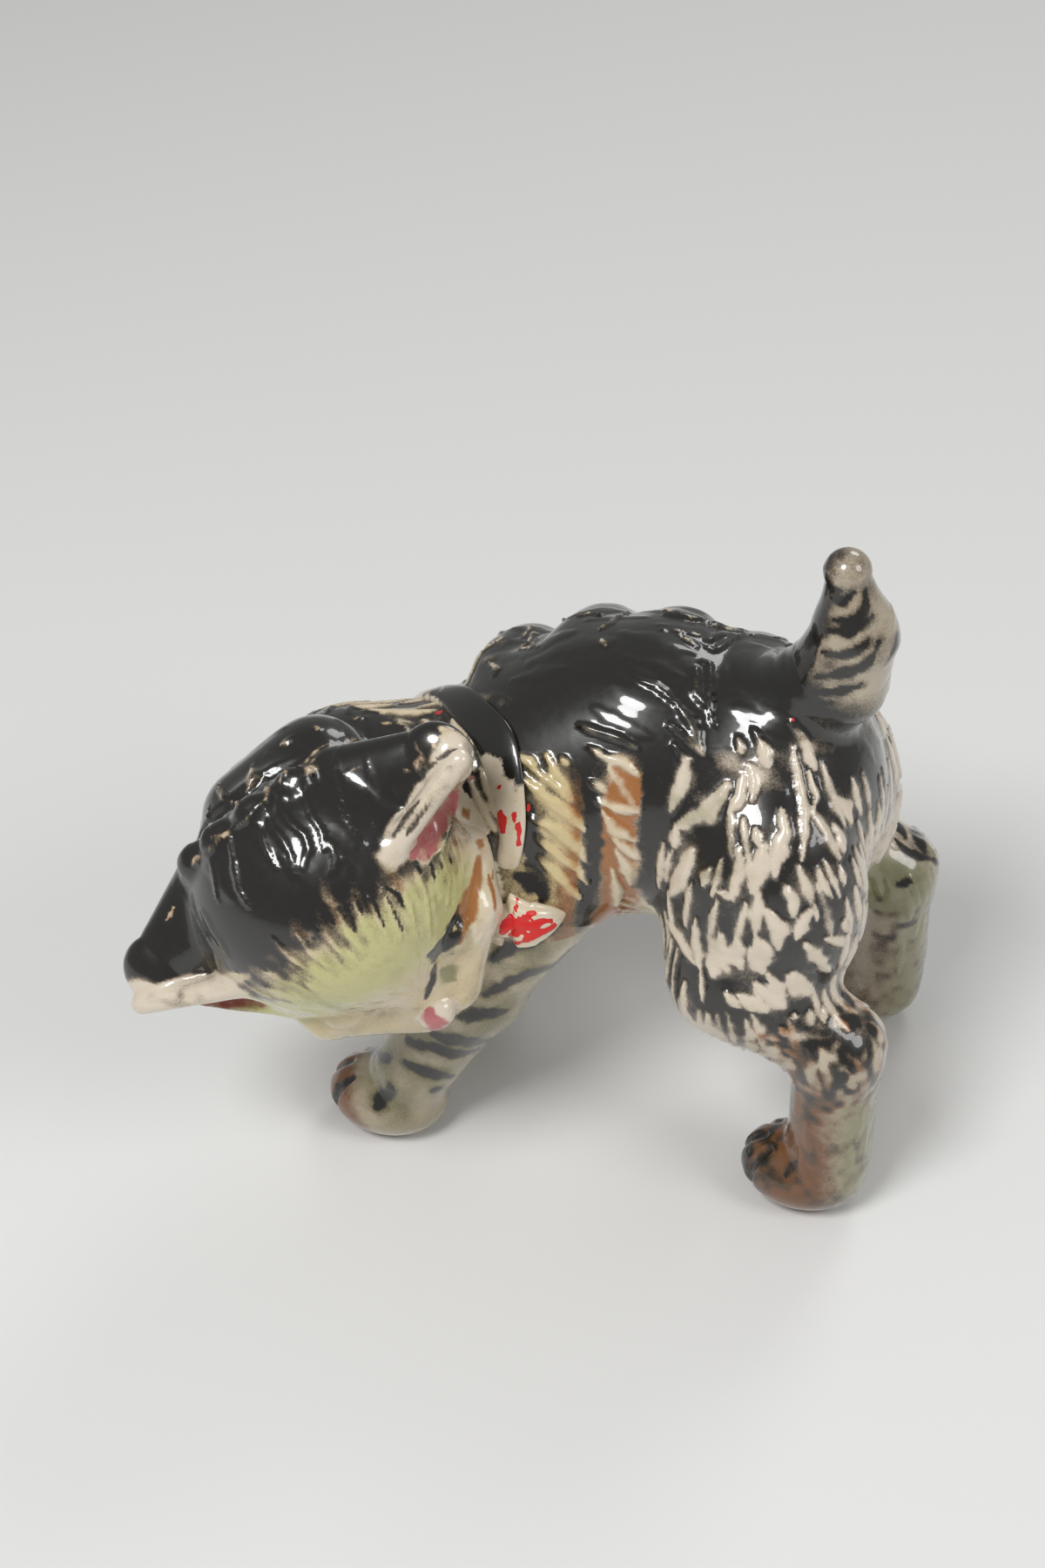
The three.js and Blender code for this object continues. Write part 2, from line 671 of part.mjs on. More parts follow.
function torsoCasting() {
  const seats = [{ ...headSeat, turn: headPose }, tailSeat, ...Object.values(legs).map((leg) => leg.seat)];
  const sockets = seats.map(({ turn, ...seat }) => {
    const hole = socket(seat, slipGap / 2);
    return turn ? turned(hole, turn) : hole;
  });
  const vent = new THREE.CylinderGeometry(ventDiameter / 2, ventDiameter / 2, barrelSize[2], 20);
  vent.rotateX(Math.PI / 2).translate(barrelAt[0], barrelAt[1], barrelAt[2] - barrelSize[2] / 2);
  return largest(cutBy(torsoSkin, torsoCavity, solid(vent), ribbonRoom, ...sockets));
}

// The ornament

const figurine = new THREE.Group();
const headGroup = new THREE.Group();
headPose.decompose(headGroup.position, headGroup.quaternion, headGroup.scale);
figurine.add(headGroup);

function place(group, name, shape, material) {
  const mesh = new THREE.Mesh(toGeometry(shape), material);
  mesh.name = name;
  group.add(mesh);
}

place(figurine, "torso", torsoCasting(), tabby);
place(headGroup, "head", headCasting(), cream);
for (const [name, part] of Object.entries(ears)) place(headGroup, name, earCasting(part), pink);
for (const [name, part] of Object.entries(legs)) place(figurine, name, legCasting(part), black);
place(figurine, "tail", tailCasting(), cream);
place(figurine, "collar_ribbon", cutBy(ribbonBand(0), headRoom), redPaint);
place(figurine, "ribbon_bow", bowCasting(), redPaint);

// Stand the kitten on the origin
figurine.updateMatrixWorld(true);
const measureEveryCorner = true;
const extent = new THREE.Box3().setFromObject(figurine, measureEveryCorner);
const middle = extent.getCenter(new THREE.Vector3());
figurine.position.set(-middle.x, -middle.y, -extent.min.z);

export default figurine;
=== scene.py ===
"""A glazed slip-cast tabby kitten that looks back over its left shoulder.

The glaze has run over every joint of the castings, so the skin is modelled whole, as soft forms that
melt into one another, carved with locks of fur, and then divided into its castings along their
seams. Sizes are in millimetres in the kitten's own frame, until a mesh is made. The frame has X from
the chest to the tail, the left flank at -Y, and the floor at z = 0.
"""

import json
import math

import bpy
import numpy as np
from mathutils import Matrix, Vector
from mathutils.bvhtree import BVHTree
from mathutils.kdtree import KDTree


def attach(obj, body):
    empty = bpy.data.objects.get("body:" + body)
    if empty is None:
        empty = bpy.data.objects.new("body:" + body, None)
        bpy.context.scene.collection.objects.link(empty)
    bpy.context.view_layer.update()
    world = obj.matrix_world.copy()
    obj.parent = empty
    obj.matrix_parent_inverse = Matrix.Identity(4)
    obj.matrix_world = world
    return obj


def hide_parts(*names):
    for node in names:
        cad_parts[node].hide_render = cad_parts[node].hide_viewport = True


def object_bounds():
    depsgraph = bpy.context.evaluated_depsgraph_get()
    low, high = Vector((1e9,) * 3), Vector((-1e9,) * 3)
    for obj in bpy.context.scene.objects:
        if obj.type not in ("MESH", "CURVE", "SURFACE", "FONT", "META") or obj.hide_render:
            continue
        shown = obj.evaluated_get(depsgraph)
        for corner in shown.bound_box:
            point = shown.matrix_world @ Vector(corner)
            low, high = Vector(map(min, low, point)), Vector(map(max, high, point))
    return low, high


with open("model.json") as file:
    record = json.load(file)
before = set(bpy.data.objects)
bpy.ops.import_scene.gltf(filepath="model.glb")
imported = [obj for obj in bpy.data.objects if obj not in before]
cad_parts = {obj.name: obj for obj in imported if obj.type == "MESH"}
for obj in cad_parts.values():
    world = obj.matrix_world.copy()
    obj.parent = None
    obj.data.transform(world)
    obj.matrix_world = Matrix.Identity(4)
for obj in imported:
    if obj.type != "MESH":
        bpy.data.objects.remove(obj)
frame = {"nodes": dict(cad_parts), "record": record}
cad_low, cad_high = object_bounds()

MM = 0.001
TINY = 1e-9
KITTEN_AT = np.array([10.194, 7.23, 0.0])  # the kitten's frame in the part's frame

# Trunk and neck
CHEST_AT, CHEST = (-12.0, -1.5, 42.8), (27.0, 28.5, 29.5)
BARREL_AT, BARREL = (-2.0, 1.0, 46.0), (32.0, 29.0, 33.6)
RUMP_AT, RUMP = (12.0, 1.5, 45.0), (24.0, 27.0, 32.0)
NECK_BASE, NECK_END = (-20.0, -4.5, 41.0), (-32.0, -10.5, 41.8)
NECK_ROOT_DIAMETER, NECK_DIAMETER = 25.5, 21.5
TUFT, TUFTS, TUFT_PITCH = (10, 15, 5), 4, 8.4
TUFT_START, TUFT_ASIDE, TUFT_SUNK = -5.5, 4.0, 3.5  # from the chest, the middle and the back

# Legs and tail
FORE_SHOULDER, FORE_PAW = (-11.0, 9.5, 36.0), (-27.0, 16.5, 4.2)
HIND_HIP, HIND_PAW = (13.5, 9.25, 39.0), (21.5, 15.75, 4.2)
FORE_TOP_SHIFT, FORE_PAW_SHIFT = -1.5, -0.7  # of both forelegs towards the right
HIND_TOP_SHIFT, HIND_PAW_SHIFT = 0.5, 2.5
ELBOW, WRIST = (0.4, 0.55, 0.61), (0.8, 0.95, 0.25)  # shares of the way down a leg, each way
KNEE, HOCK, HEEL = (-0.125, 0.8, 0.78), (1.275, 0.9, 0.6), (1.35, 1.0, 0.19)
SHOULDER_DIAMETER, ELBOW_DIAMETER, WRIST_DIAMETER = 16.5, 11.2, 9.6
KNEE_DIAMETER, HOCK_DIAMETER, HEEL_DIAMETER = 14, 9.8, 9.6
THIGH, KNEE_SIZE = (22, 18, 30), (15.5, 12, 15)
PAW = (14.2, 11.2, 9.4)
TAIL_ROOT, TAIL_BEND = (12.5, 0.5, 57.0), (17.5, 0.5, 62.6)
TAIL_TOP, TAIL_TIP = (18.8, 0.5, 68.6), (17.5, 0.5, 75.7)
TAIL_DIAMETERS = (12, 10, 8.6, 5.0)
TOE_CLEFTS, TOE_FAN = 3, 1.125  # clefts of a paw and radians between the outer two
CLEFT_HEIGHTS = np.array([3.5, 1.8, -0.6, -3.4])
CLEFT_DIAMETERS = (0.9, 1.1)
PAW_TOP = 11.0

# Head, in its own frame: X to the nose, Y to its left ear, Z out of the crown. A strand is given by
# its two ends and its diameters there, an egg by its middle and its size.
HEAD_AT = (-28.1, -24.5, 40.6)
HEAD_FORWARD, HEAD_LEFT = (0.72, -0.24, -0.65), (0.69, 0.35, 0.63)
SKULL = (-2.8, 0.0, 1.0), (27.6, 30.0, 24.4)
CHEEK = (3.8, 6.6, -3.9), (18.4, 15.0, 15.4)
BRIDGE = (3, 0, 4.2), (12.2, 0, -2.8), 10.5, 7.4
MUZZLE = (11.2, 0.0, -5.6), (13.0, 15.0, 9.4)
CHIN = (10.0, 0, -9.6), (8, 8, 6)
NAPE_ROLL = (-12.2, -2.5, -1.0), (-12.4, 5.5, -3.0), 11.8, 11.8
SCALLOPS = ((-12.4, -7.6, 5.8), (-12.7, -3, 8.0), (-12.8, 1.7, 8.4), (-12.5, 6.2, 6.9))
SCALLOP = (4.4, 5.4, 3.4)
GROOVES_START, GROOVE_ENDS = (-15.8, 0.3, 6.0), ((-14.4, -9.5, 3.4), (-14.4, 10, 2.6))
LID = ((4.0, 13.8, -3.6), (9.4, 10.8, -1.8), 3.6, 4.2), ((9.4, 10.8, -1.8), (15.2, 2.4, -4.0), 4.2, 4.4)
LID_GROOVE = ((6.0, 14.6, 1.2), (10.6, 8.6, 2.4), 1.2, 2.4), ((10.6, 8.6, 2.4), (15.4, 1.6, 0.8), 2.4, 1.2)
EYE_OPENING = (8.8, 10.0, 2.9), (11.4, 5.2, 1.3), 1.3, 1.5
EYEBALL = (9.2, 7.2, 1.2), (4.4, 5.4, 3.0)
NOSE_PAD = (15.6, -0.2, -1.4), (4.0, 4.6, 3.6)
NOSTRIL = (17.5, 1.2, -2.6), (1.6, 1.1, 0.8)
MOUTH_SIDE = (16.6, 0, -5.2), (13.6, 4.6, -7.2), 0.9, 0.7
MOUTH_MIDDLE = (17.4, 0, -3.4), (16.8, 0, -5.4), 0.7, 0.9

# Ears, each a flat lobe behind a round rim, with a scoop between the rim and a lower edge, and clay
# behind the scoop
EAR_LOBE = (-7.4, 11.0, 3.0), (-6.2, 19.6, 5.2), 13, 7.6
EAR_HEIGHT, EAR_FLATNESS = 4.4, 1.9
EAR_ROOT = {1: (-1.4, 9.8, 8.2), -1: (0.8, 11.2, 6.4)}
EAR_TIP = {1: (-4.7, 22.0, 6.6), -1: (-4.2, 22.8, 6.4)}
RIM_DIAMETERS, SCOOP_DIAMETERS, EDGE_DIAMETERS, WEB_DIAMETERS = (3.0, 2.3), (4.2, 2.8), (3.0, 2.0), (6.4, 3.4)
SCOOP_DOWN, SCOOP_SHORT = np.array([2.4, 0, -2.2]), (0, -2.6, 0)
EDGE_DOWN, EDGE_END = 1.9, (-0.4, 0, -3)
WEB_START, WEB_END = (-2.6, 0, -2.3), (-2.2, 0, -1.2)

# Paint of the nose's pad and of the ears' pockets, in the head's frame
PAD_AT, PAD = [16.3, -0.2, -1.0], [2.3, 2.6, 2.1]
POCKET_DOWN = np.array([2.0, 0, -2.2])

# Camera and stage
CAMERA_AZIMUTH, CAMERA_ELEVATION = 18.0, 40.0
PHOTO_SIZE = (1200, 1800)
FOCAL_PIXELS = 2800.0
FEET_MIDDLE_PIXEL = (747.0, 1222.0)  # where the kitten's frame has its origin in the photograph
MM_PER_PIXEL = 0.105
SENSOR_MM, FLOOR_HALF, LIT_HEIGHT = 36.0, 1.5, 0.04

VOXEL = 0.34
SEED = 5


def unit(vector):
    return np.asarray(vector, float) / np.linalg.norm(vector)


def ease(value, low, high):
    share = np.clip((value - low) / (high - low), 0, 1)
    return share * share * (3 - 2 * share)


def blend(below, above, share):
    return below * (1 - share) + above * share


def mirrored(point, side):
    return (point[0], side * point[1], point[2])


# Soft forms: functions of points that are negative inside and nearly the distance to the skin


def egg(at, size):
    centre, radii = np.array(at), np.array(size) / 2

    def depth(points):
        scaled = (points - centre) / radii
        level = np.linalg.norm(scaled, axis=1)
        steepness = np.linalg.norm(scaled / radii, axis=1)
        return level * (level - 1) / np.maximum(steepness, TINY)

    return depth


def limb(start, end, start_diameter, end_diameter):
    start, along = np.array(start), np.array(end) - np.array(start)
    length = np.linalg.norm(along)
    taper = (start_diameter - end_diameter) / 2

    def depth(points):
        offset = points - start
        forward = offset @ (along / length)
        aside = np.sqrt(np.maximum((offset * offset).sum(1) - forward * forward, 0))
        share = np.clip((forward + aside * taper / length) / length, 0, 1)
        return np.hypot(forward - share * length, aside) - start_diameter / 2 + share * taper

    return depth


def melt(softness, first, second):
    overlap = np.maximum(softness - np.abs(first - second), 0) / softness
    return np.minimum(first, second) - overlap**3 * softness / 6


def fuse(softness, *forms):
    def depth(points):
        level = forms[0](points)
        for form in forms[1:]:
            level = melt(softness, level, form(points))
        return level

    return depth


def carve(softness, form, cutter):
    return lambda points: -melt(softness, -form(points), cutter(points))


def meet(softness, first, second):
    return lambda points: -melt(softness, -first(points), -second(points))


def flattened(form, middle, flatness):
    """The form pressed flat along Z about a height, so that its level stays below the distance."""
    stretch = np.array([1, 1, flatness])
    lift = np.array([0, 0, middle * (1 - flatness)])
    return lambda points: form(points * stretch + lift) / flatness


# Body


def between(top, paw, shares):
    along, across, height = shares
    return (top[0] + (paw[0] - top[0]) * along, top[1] + (paw[1] - top[1]) * across, top[2] * height)


def leg_ends(top, paw, side, top_shift, paw_shift):
    top = np.array([top[0], side * top[1] + top_shift, top[2]])
    return top, np.array([paw[0], side * paw[1] + paw_shift, paw[2]])


def foreleg(side):
    top, paw = leg_ends(FORE_SHOULDER, FORE_PAW, side, FORE_TOP_SHIFT, FORE_PAW_SHIFT)
    elbow, wrist = between(top, paw, ELBOW), between(top, paw, WRIST)
    upper = limb(top, elbow, SHOULDER_DIAMETER, ELBOW_DIAMETER)
    return upper, limb(elbow, wrist, ELBOW_DIAMETER, WRIST_DIAMETER), paw


def hind_leg(side):
    top, paw = leg_ends(HIND_HIP, HIND_PAW, side, HIND_TOP_SHIFT, HIND_PAW_SHIFT)
    knee, hock, heel = [between(top, paw, shares) for shares in (KNEE, HOCK, HEEL)]
    upper = fuse(4, egg(top, THIGH), egg(knee, KNEE_SIZE))
    shank = limb(knee, hock, KNEE_DIAMETER, HOCK_DIAMETER)
    return upper, fuse(4, shank, limb(hock, heel, HOCK_DIAMETER, HEEL_DIAMETER)), paw


LEGS = [foreleg(-1), foreleg(1), hind_leg(-1), hind_leg(1)]
trunk = fuse(9, egg(CHEST_AT, CHEST), egg(BARREL_AT, BARREL), egg(RUMP_AT, RUMP))
neck = fuse(
    3,
    limb(CHEST_AT, NECK_BASE, NECK_ROOT_DIAMETER, NECK_DIAMETER),
    limb(NECK_BASE, NECK_END, NECK_DIAMETER, NECK_DIAMETER),
)
throat = fuse(6, trunk, neck)


def spine_tufts():
    """A row of eggs, each just under the back where it stands."""
    tufts = []
    for index in range(TUFTS):
        x = CHEST_AT[0] + TUFT_START + index * TUFT_PITCH
        heights = np.linspace(70, 40, 600)
        column = np.column_stack([np.full(600, x), np.full(600, 1.0), heights])
        back = heights[np.argmax(trunk(column) < 0)]
        tufts.append(egg((x, TUFT_ASIDE, back - TUFT_SUNK), TUFT))
    return tufts


body = fuse(2.5, fuse(4, throat, *[upper for upper, lower, paw in LEGS]), *spine_tufts())
for upper, lower, paw in LEGS:
    body = fuse(2.5, fuse(4, body, lower), egg(paw, PAW))
TAIL_POINTS = (TAIL_ROOT, TAIL_BEND, TAIL_TOP, TAIL_TIP)
tail_strands = zip(TAIL_POINTS, TAIL_POINTS[1:], TAIL_DIAMETERS, TAIL_DIAMETERS[1:])
body = fuse(3, body, fuse(3, *[limb(*strand) for strand in tail_strands]))


def toe_clefts(paw):
    """The grooves between the toes, each from the top of the paw down its front."""
    paths = []
    for swing in np.linspace(-0.5, 0.5, TOE_CLEFTS) * TOE_FAN:
        outward = np.array([-math.cos(swing), math.sin(swing), 0])
        reach = 1 / np.linalg.norm(outward[:2] / np.array(PAW[:2]) * 2)
        shares = np.sqrt(1 - (CLEFT_HEIGHTS / (PAW[2] / 2)) ** 2)
        paths.append([paw + outward * reach * share + [0, 0, h] for share, h in zip(shares, CLEFT_HEIGHTS)])
    return paths


TOE_PATHS = [path for upper, lower, paw in LEGS for path in toe_clefts(paw)]
TOE_GROOVES = [limb(start, end, *CLEFT_DIAMETERS) for path in TOE_PATHS for start, end in zip(path, path[1:])]


def grooved(points):
    """The body with its toes parted, which only the points near the floor need."""
    level = body(points)
    paws = np.flatnonzero(points[:, 2] < PAW_TOP)
    part, value = points[paws], level[paws]
    for groove in TOE_GROOVES:
        value = -melt(0.7, -value, groove(part))
    level[paws] = value
    return level


# Head

forward = unit(HEAD_FORWARD)
crown = unit(np.cross(forward, HEAD_LEFT))
HEAD_AXES = np.column_stack([forward, np.cross(crown, forward), crown])


def in_head(points):
    return (points - np.array(HEAD_AT)) @ HEAD_AXES


def egg_at(side, at, size):
    return egg(mirrored(at, side), size)


def strand_at(side, start, end, start_diameter, end_diameter):
    return limb(mirrored(start, side), mirrored(end, side), start_diameter, end_diameter)


def with_eye(face, side):
    """The face with one slit eye, the puffed lid below it and the groove between."""
    face = fuse(2.2, face, fuse(2, *[strand_at(side, *strand) for strand in LID]))
    face = carve(1.6, face, fuse(1, *[strand_at(side, *strand) for strand in LID_GROOVE]))
    return fuse(0.2, carve(0.5, face, strand_at(side, *EYE_OPENING)), egg_at(side, *EYEBALL))


def ear(side):
    root, tip = np.array(mirrored(EAR_ROOT[side], side)), np.array(mirrored(EAR_TIP[side], side))
    lobe = flattened(strand_at(side, *EAR_LOBE), EAR_HEIGHT, EAR_FLATNESS)
    lobe = fuse(1.6, lobe, limb(root, tip, *RIM_DIAMETERS))
    scoop_start, scoop_end = root + SCOOP_DOWN, tip + SCOOP_DOWN + mirrored(SCOOP_SHORT, side)
    lobe = fuse(1.2, lobe, limb(root + EDGE_DOWN * SCOOP_DOWN, tip + EDGE_END, *EDGE_DIAMETERS))
    lobe = fuse(2.2, lobe, limb(scoop_start + WEB_START, scoop_end + WEB_END, *WEB_DIAMETERS))
    return carve(0.7, lobe, limb(scoop_start, scoop_end, *SCOOP_DIAMETERS))


SIDES = (-1, 1)
face = egg(*SKULL)
for side in SIDES:
    face = fuse(4.5, face, egg_at(side, *CHEEK))
face = fuse(3.5, face, limb(*BRIDGE))
face = fuse(2.5, face, egg(*MUZZLE), egg(*CHIN))
# The roll of fur behind the head, and the scalloped edge of the crown above it
face = fuse(1.2, face, limb(*NAPE_ROLL))
for scallop in SCALLOPS:
    face = fuse(1.2, face, egg(scallop, SCALLOP))
for end in GROOVE_ENDS:
    face = carve(1.0, face, limb(GROOVES_START, end, 2.4, 1.8))
for side in SIDES:
    face = with_eye(face, side)
face = fuse(0.7, face, egg(*NOSE_PAD))
for side in SIDES:
    face = carve(0.4, face, egg_at(side, *NOSTRIL))
    face = carve(0.5, face, strand_at(side, *MOUTH_SIDE))
face = carve(0.5, face, limb(*MOUTH_MIDDLE))
for side in SIDES:
    face = fuse(1.6, face, ear(side))

kitten = fuse(1.0, grooved, lambda points: face(in_head(points)))
kitten = meet(0.3, kitten, lambda points: -points[:, 2])

# Skin

BLOCK = 4  # grid points each way in the blocks whose middles are tried first
NEAR_SKIN = 1.6  # of a block
SLOPE_STEP, LEAST_STEEP, LONGEST_MOVE = 0.05, 0.2, 0.5
MARGIN = 2.0
part_low, part_high = [np.array(corner) / MM - KITTEN_AT for corner in (cad_low, cad_high)]


def sampled(form, low, high):
    """The form's level at every point of a grid, worked out finely near the skin alone."""
    counts = np.ceil((high - low) / VOXEL / BLOCK).astype(int)
    index = np.indices(counts).reshape(3, -1).T
    coarse = form(low + (index * BLOCK + (BLOCK - 1) / 2) * VOXEL)
    field = coarse.reshape(counts)
    for axis in range(3):
        field = np.repeat(field, BLOCK, axis)
    field = field.astype(np.float32)
    near = index[np.abs(coarse) < BLOCK * VOXEL * NEAR_SKIN]
    inner = np.indices((BLOCK,) * 3).reshape(3, -1).T
    fine = (near[:, None, :] * BLOCK + inner[None]).reshape(-1, 3)
    levels = [form(low + part * VOXEL) for part in np.array_split(fine, 40)]
    field[tuple(fine.T)] = np.concatenate(levels)
    return field


def surface_net(field):
    """Vertices and quads of the level zero, one vertex to a cell that the skin crosses."""
    inside = field < 0
    cells, crossings, outward = [], [], []
    strides = np.array([field.shape[1] * field.shape[2], field.shape[2], 1])
    steps = np.eye(3, dtype=int)
    for axis in range(3):
        ahead, one, two = steps[axis], steps[(axis + 1) % 3], steps[(axis + 2) % 3]
        first = inside[tuple(slice(0, n - a) for n, a in zip(field.shape, ahead))]
        second = inside[tuple(slice(a, n) for n, a in zip(field.shape, ahead))]
        here = np.argwhere(first != second)
        here = here[((here > 0) | (np.arange(3) == axis)).all(1)]
        near, far = field[tuple(here.T)], field[tuple((here + ahead).T)]
        corners = [here - one - two, here - two, here, here - one]
        cells.append(np.stack([corner @ strides for corner in corners], 1))
        crossings.append(np.repeat(here + ahead * (near / (near - far))[:, None], 4, 0))
        outward.append(near < 0)
    number = np.unique(np.concatenate(cells).ravel(), return_inverse=True)[1].reshape(-1)
    places, shares = np.concatenate(crossings), np.bincount(number)
    vertices = np.stack([np.bincount(number, places[:, k]) / shares for k in range(3)], 1)
    quads, outward = number.reshape(-1, 4), np.concatenate(outward)
    quads[~outward] = quads[~outward][:, ::-1]
    return vertices, quads


def gradient(form, places):
    shifts = np.eye(3) * SLOPE_STEP
    return np.stack([form(places + s) - form(places - s) for s in shifts], 1) / (2 * SLOPE_STEP)


def settle(form, places):
    """Points moved onto the skin, with its outward normals."""
    for _ in range(2):
        slope = gradient(form, places)
        steep = np.maximum((slope * slope).sum(1), LEAST_STEEP)
        move = np.clip(form(places) / steep, -LONGEST_MOVE, LONGEST_MOVE)
        places = places - slope * move[:, None]
    slope = gradient(form, places)
    return places, slope / np.linalg.norm(slope, axis=1)[:, None]


def skin_of(form, low, high):
    vertices, quads = surface_net(sampled(form, low, high))
    return *settle(form, low + vertices * VOXEL), quads


# The view, which also places the marks that are named by their pixels in the photograph

azimuth, elevation = math.radians(CAMERA_AZIMUTH), math.radians(CAMERA_ELEVATION)
right = np.array([math.cos(azimuth), math.sin(azimuth), 0])
tilt = math.cos(elevation)
back = np.array([math.sin(azimuth) * tilt, -math.cos(azimuth) * tilt, math.sin(elevation)])
up = np.cross(back, right)
aside = (FEET_MIDDLE_PIXEL[0] - PHOTO_SIZE[0] / 2) * MM_PER_PIXEL
above = (PHOTO_SIZE[1] / 2 - FEET_MIDDLE_PIXEL[1]) * MM_PER_PIXEL
camera_at = back * FOCAL_PIXELS * MM_PER_PIXEL - right * aside - up * above


def ray_through(x, y):
    return unit(right * (x - PHOTO_SIZE[0] / 2) + up * (PHOTO_SIZE[1] / 2 - y) - back * FOCAL_PIXELS)


def grain(places, size, seed):
    """Smooth random values from -1 to 1, with features of about the size."""
    cell = np.floor(places / size).astype(np.int64)
    part = places / size - cell
    part = part * part * (3 - 2 * part)
    total = np.zeros(len(places))
    for corner in np.ndindex(2, 2, 2):
        key = (cell + corner) @ np.array([73856093, 19349663, 83492791]) + seed * 97531
        key = (key ^ (key >> 13)) * 1274126177
        key = (key ^ (key >> 16)) & 0xFFFF
        total += np.prod(np.where(corner, part, 1 - part), axis=1) * (key / 32767.5 - 1)
    return total


# Values that vary over the glaze
LAYERS = "lock halo ink cream green brown pink red worn glint lime dusk bare".split()


class Surface:
    """A skin in the kitten's frame, with its layers of relief and colour."""

    def __init__(self, places, faces):
        self.places = places
        self.hull = BVHTree.FromPolygons(places.tolist(), faces)
        self.tree = KDTree(len(places))
        for index, place in enumerate(places.tolist()):
            self.tree.insert(place, index)
        self.tree.balance()
        self.layers = {name: np.zeros(len(places)) for name in LAYERS}
        self.ragged = 1 + 0.45 * grain(places, 0.9, 21) + 0.25 * grain(places, 2.1, 22)

    def under_pixel(self, x, y):
        place = self.hull.ray_cast(Vector(camera_at), Vector(ray_through(x, y)))[0]
        return None if place is None else np.array(place)

    def nearest(self, place):
        return np.array(self.hull.find_nearest(Vector(place))[0])

    def line(self, pixels):
        places = [self.under_pixel(x, y) for x, y in zip(pixels[::2], pixels[1::2])]
        return [place for place in places if place is not None]

    def around(self, path, width):
        """Vertices near a stroke, their share of its length and their distance from it."""
        path = np.array(path)
        middle = (path.min(0) + path.max(0)) / 2
        radius = np.linalg.norm(path - middle, axis=1).max() + width
        found = np.array([index for place, index, gap in self.tree.find_range(middle, radius)], int)
        off = np.full(len(found), np.inf)
        share = np.zeros(len(found))
        if len(path) == 1:
            return found, share + 0.5, np.linalg.norm(self.places[found] - path[0], axis=1)
        run = 0.0
        for start, end in zip(path, path[1:]):
            along = end - start
            length = np.linalg.norm(along) + TINY
            away = self.places[found] - start
            part = np.clip(away @ along / length**2, 0, 1)
            gap = np.linalg.norm(away - part[:, None] * along, axis=1)
            closer = gap < off
            off[closer], share[closer] = gap[closer], run + part[closer] * length
            run += length
        return found, share / run, off

    def stroke(self, layer, path, width, amount=1.0, belly=0.5, point=0.35):
        """A leaf-shaped stroke, widest at the share of its length called belly."""
        if not len(path):
            return []
        found, share, off = self.around(path, width)
        swell = np.where(share < belly, share / belly, (1 - share) / (1 - belly))
        half = width / 2 * (point + (1 - point) * np.sin(np.clip(swell, 0, 1) * math.pi / 2))
        half = half * self.ragged[found]
        value = amount * ease(1.3 - off / half, 0, 1.05)
        self.layers[layer][found] = np.maximum(self.layers[layer][found], value)
        return found[off < half * 1.15]

    def draw(self, layer, strokes, amount=1.0, widen=1.0, point=0.35):
        """Strokes named by their width in pixels and the pixels that they run through."""
        for width, *pixels in strokes:
            self.stroke(layer, self.line(pixels), width * PIXEL_MM * widen, amount, point=point)

    def follow(self, start, flow, length, steps=4):
        """A path over the skin that sets out both ways from a point."""
        path = [start]
        for turn in (-1, 1):
            place = start
            for step in range(steps // 2):
                place = self.nearest(place + turn * flow(place) * length / steps)
                path = [place] + path if turn < 0 else path + [place]
        return path


PIXEL_MM = MM_PER_PIXEL * 0.87  # at the depth of the near flank
points, normals, quads = skin_of(kitten, part_low - MARGIN, part_high + MARGIN)
kitten_skin = Surface(points, quads.tolist())
rng = np.random.default_rng(SEED)

# Where each vertex is: the casting nearest to it in the frame


def casting_hull(names):
    corners, faces, owners = [], [], []
    for name in names:
        node = frame["nodes"][name]
        offset = len(corners)
        corners += [tuple(node.matrix_world @ v.co) for v in node.data.vertices]
        faces += [[offset + v for v in face.vertices] for face in node.data.polygons]
        owners += [name] * len(node.data.polygons)
    corners = np.array(corners) / MM - KITTEN_AT
    return BVHTree.FromPolygons(corners.tolist(), faces), owners


CASTINGS = [name for name in frame["nodes"] if name not in ("collar_ribbon", "ribbon_bow")]
hull, owners = casting_hull(CASTINGS)
middles = points[quads].mean(1)
owner = np.array([owners[hull.find_nearest(Vector(m))[2]] for m in middles.tolist()])

# Places, in the body's frame and in the head's

face_at = in_head(points)
F, L, U = face_at.T
X, Y, Z = points.T
normal_x, normal_y, normal_z = normals.T
by_casting = {name: np.zeros(len(points), bool) for name in CASTINGS}
for name in CASTINGS:
    by_casting[name][quads[owner == name].ravel()] = True
on_head = by_casting["head"] | by_casting["left_ear"] | by_casting["right_ear"]
on_tail = by_casting["tail"] & (Z > 61)
on_fore = by_casting["left_foreleg"] | by_casting["right_foreleg"]
on_hind = by_casting["left_hind_leg"] | by_casting["right_hind_leg"]
NOSE = np.array([15.2, 0, -0.5])


def tangent(direction, normal):
    return unit(direction - normal * (direction @ normal) + TINY)


def flow(place):
    """The way that the fur lies at a place."""
    index = kitten_skin.tree.find(place)[1]
    normal, local = normals[index], face_at[index]
    if on_head[index]:
        away = local - NOSE
        swing = 0.35 * math.sin(local[0] * 0.5 + local[1] * 0.35)
        return tangent(HEAD_AXES @ (away + np.array([0, swing * abs(away[0]), 0])), normal)
    if on_tail[index]:
        return tangent(np.cross(normal, [0.25, 0, 1.0]) + np.array([0, 0, -0.35]), normal)
    x, y, z = place
    if z > 55:
        return tangent(np.array([1.0, 0.25 * math.sin(x * 0.4), -0.2]), normal)
    if x < 2.5 and z > 30:
        return tangent(np.array([0.6, 0, -0.8]), normal)
    return tangent(np.array([0.12 + 0.25 * math.sin(z * 0.35 + x * 0.2), 0, -1.0]), normal)


# Fur and paint that the photograph shows: for each stroke its width and the places along it, in pixels

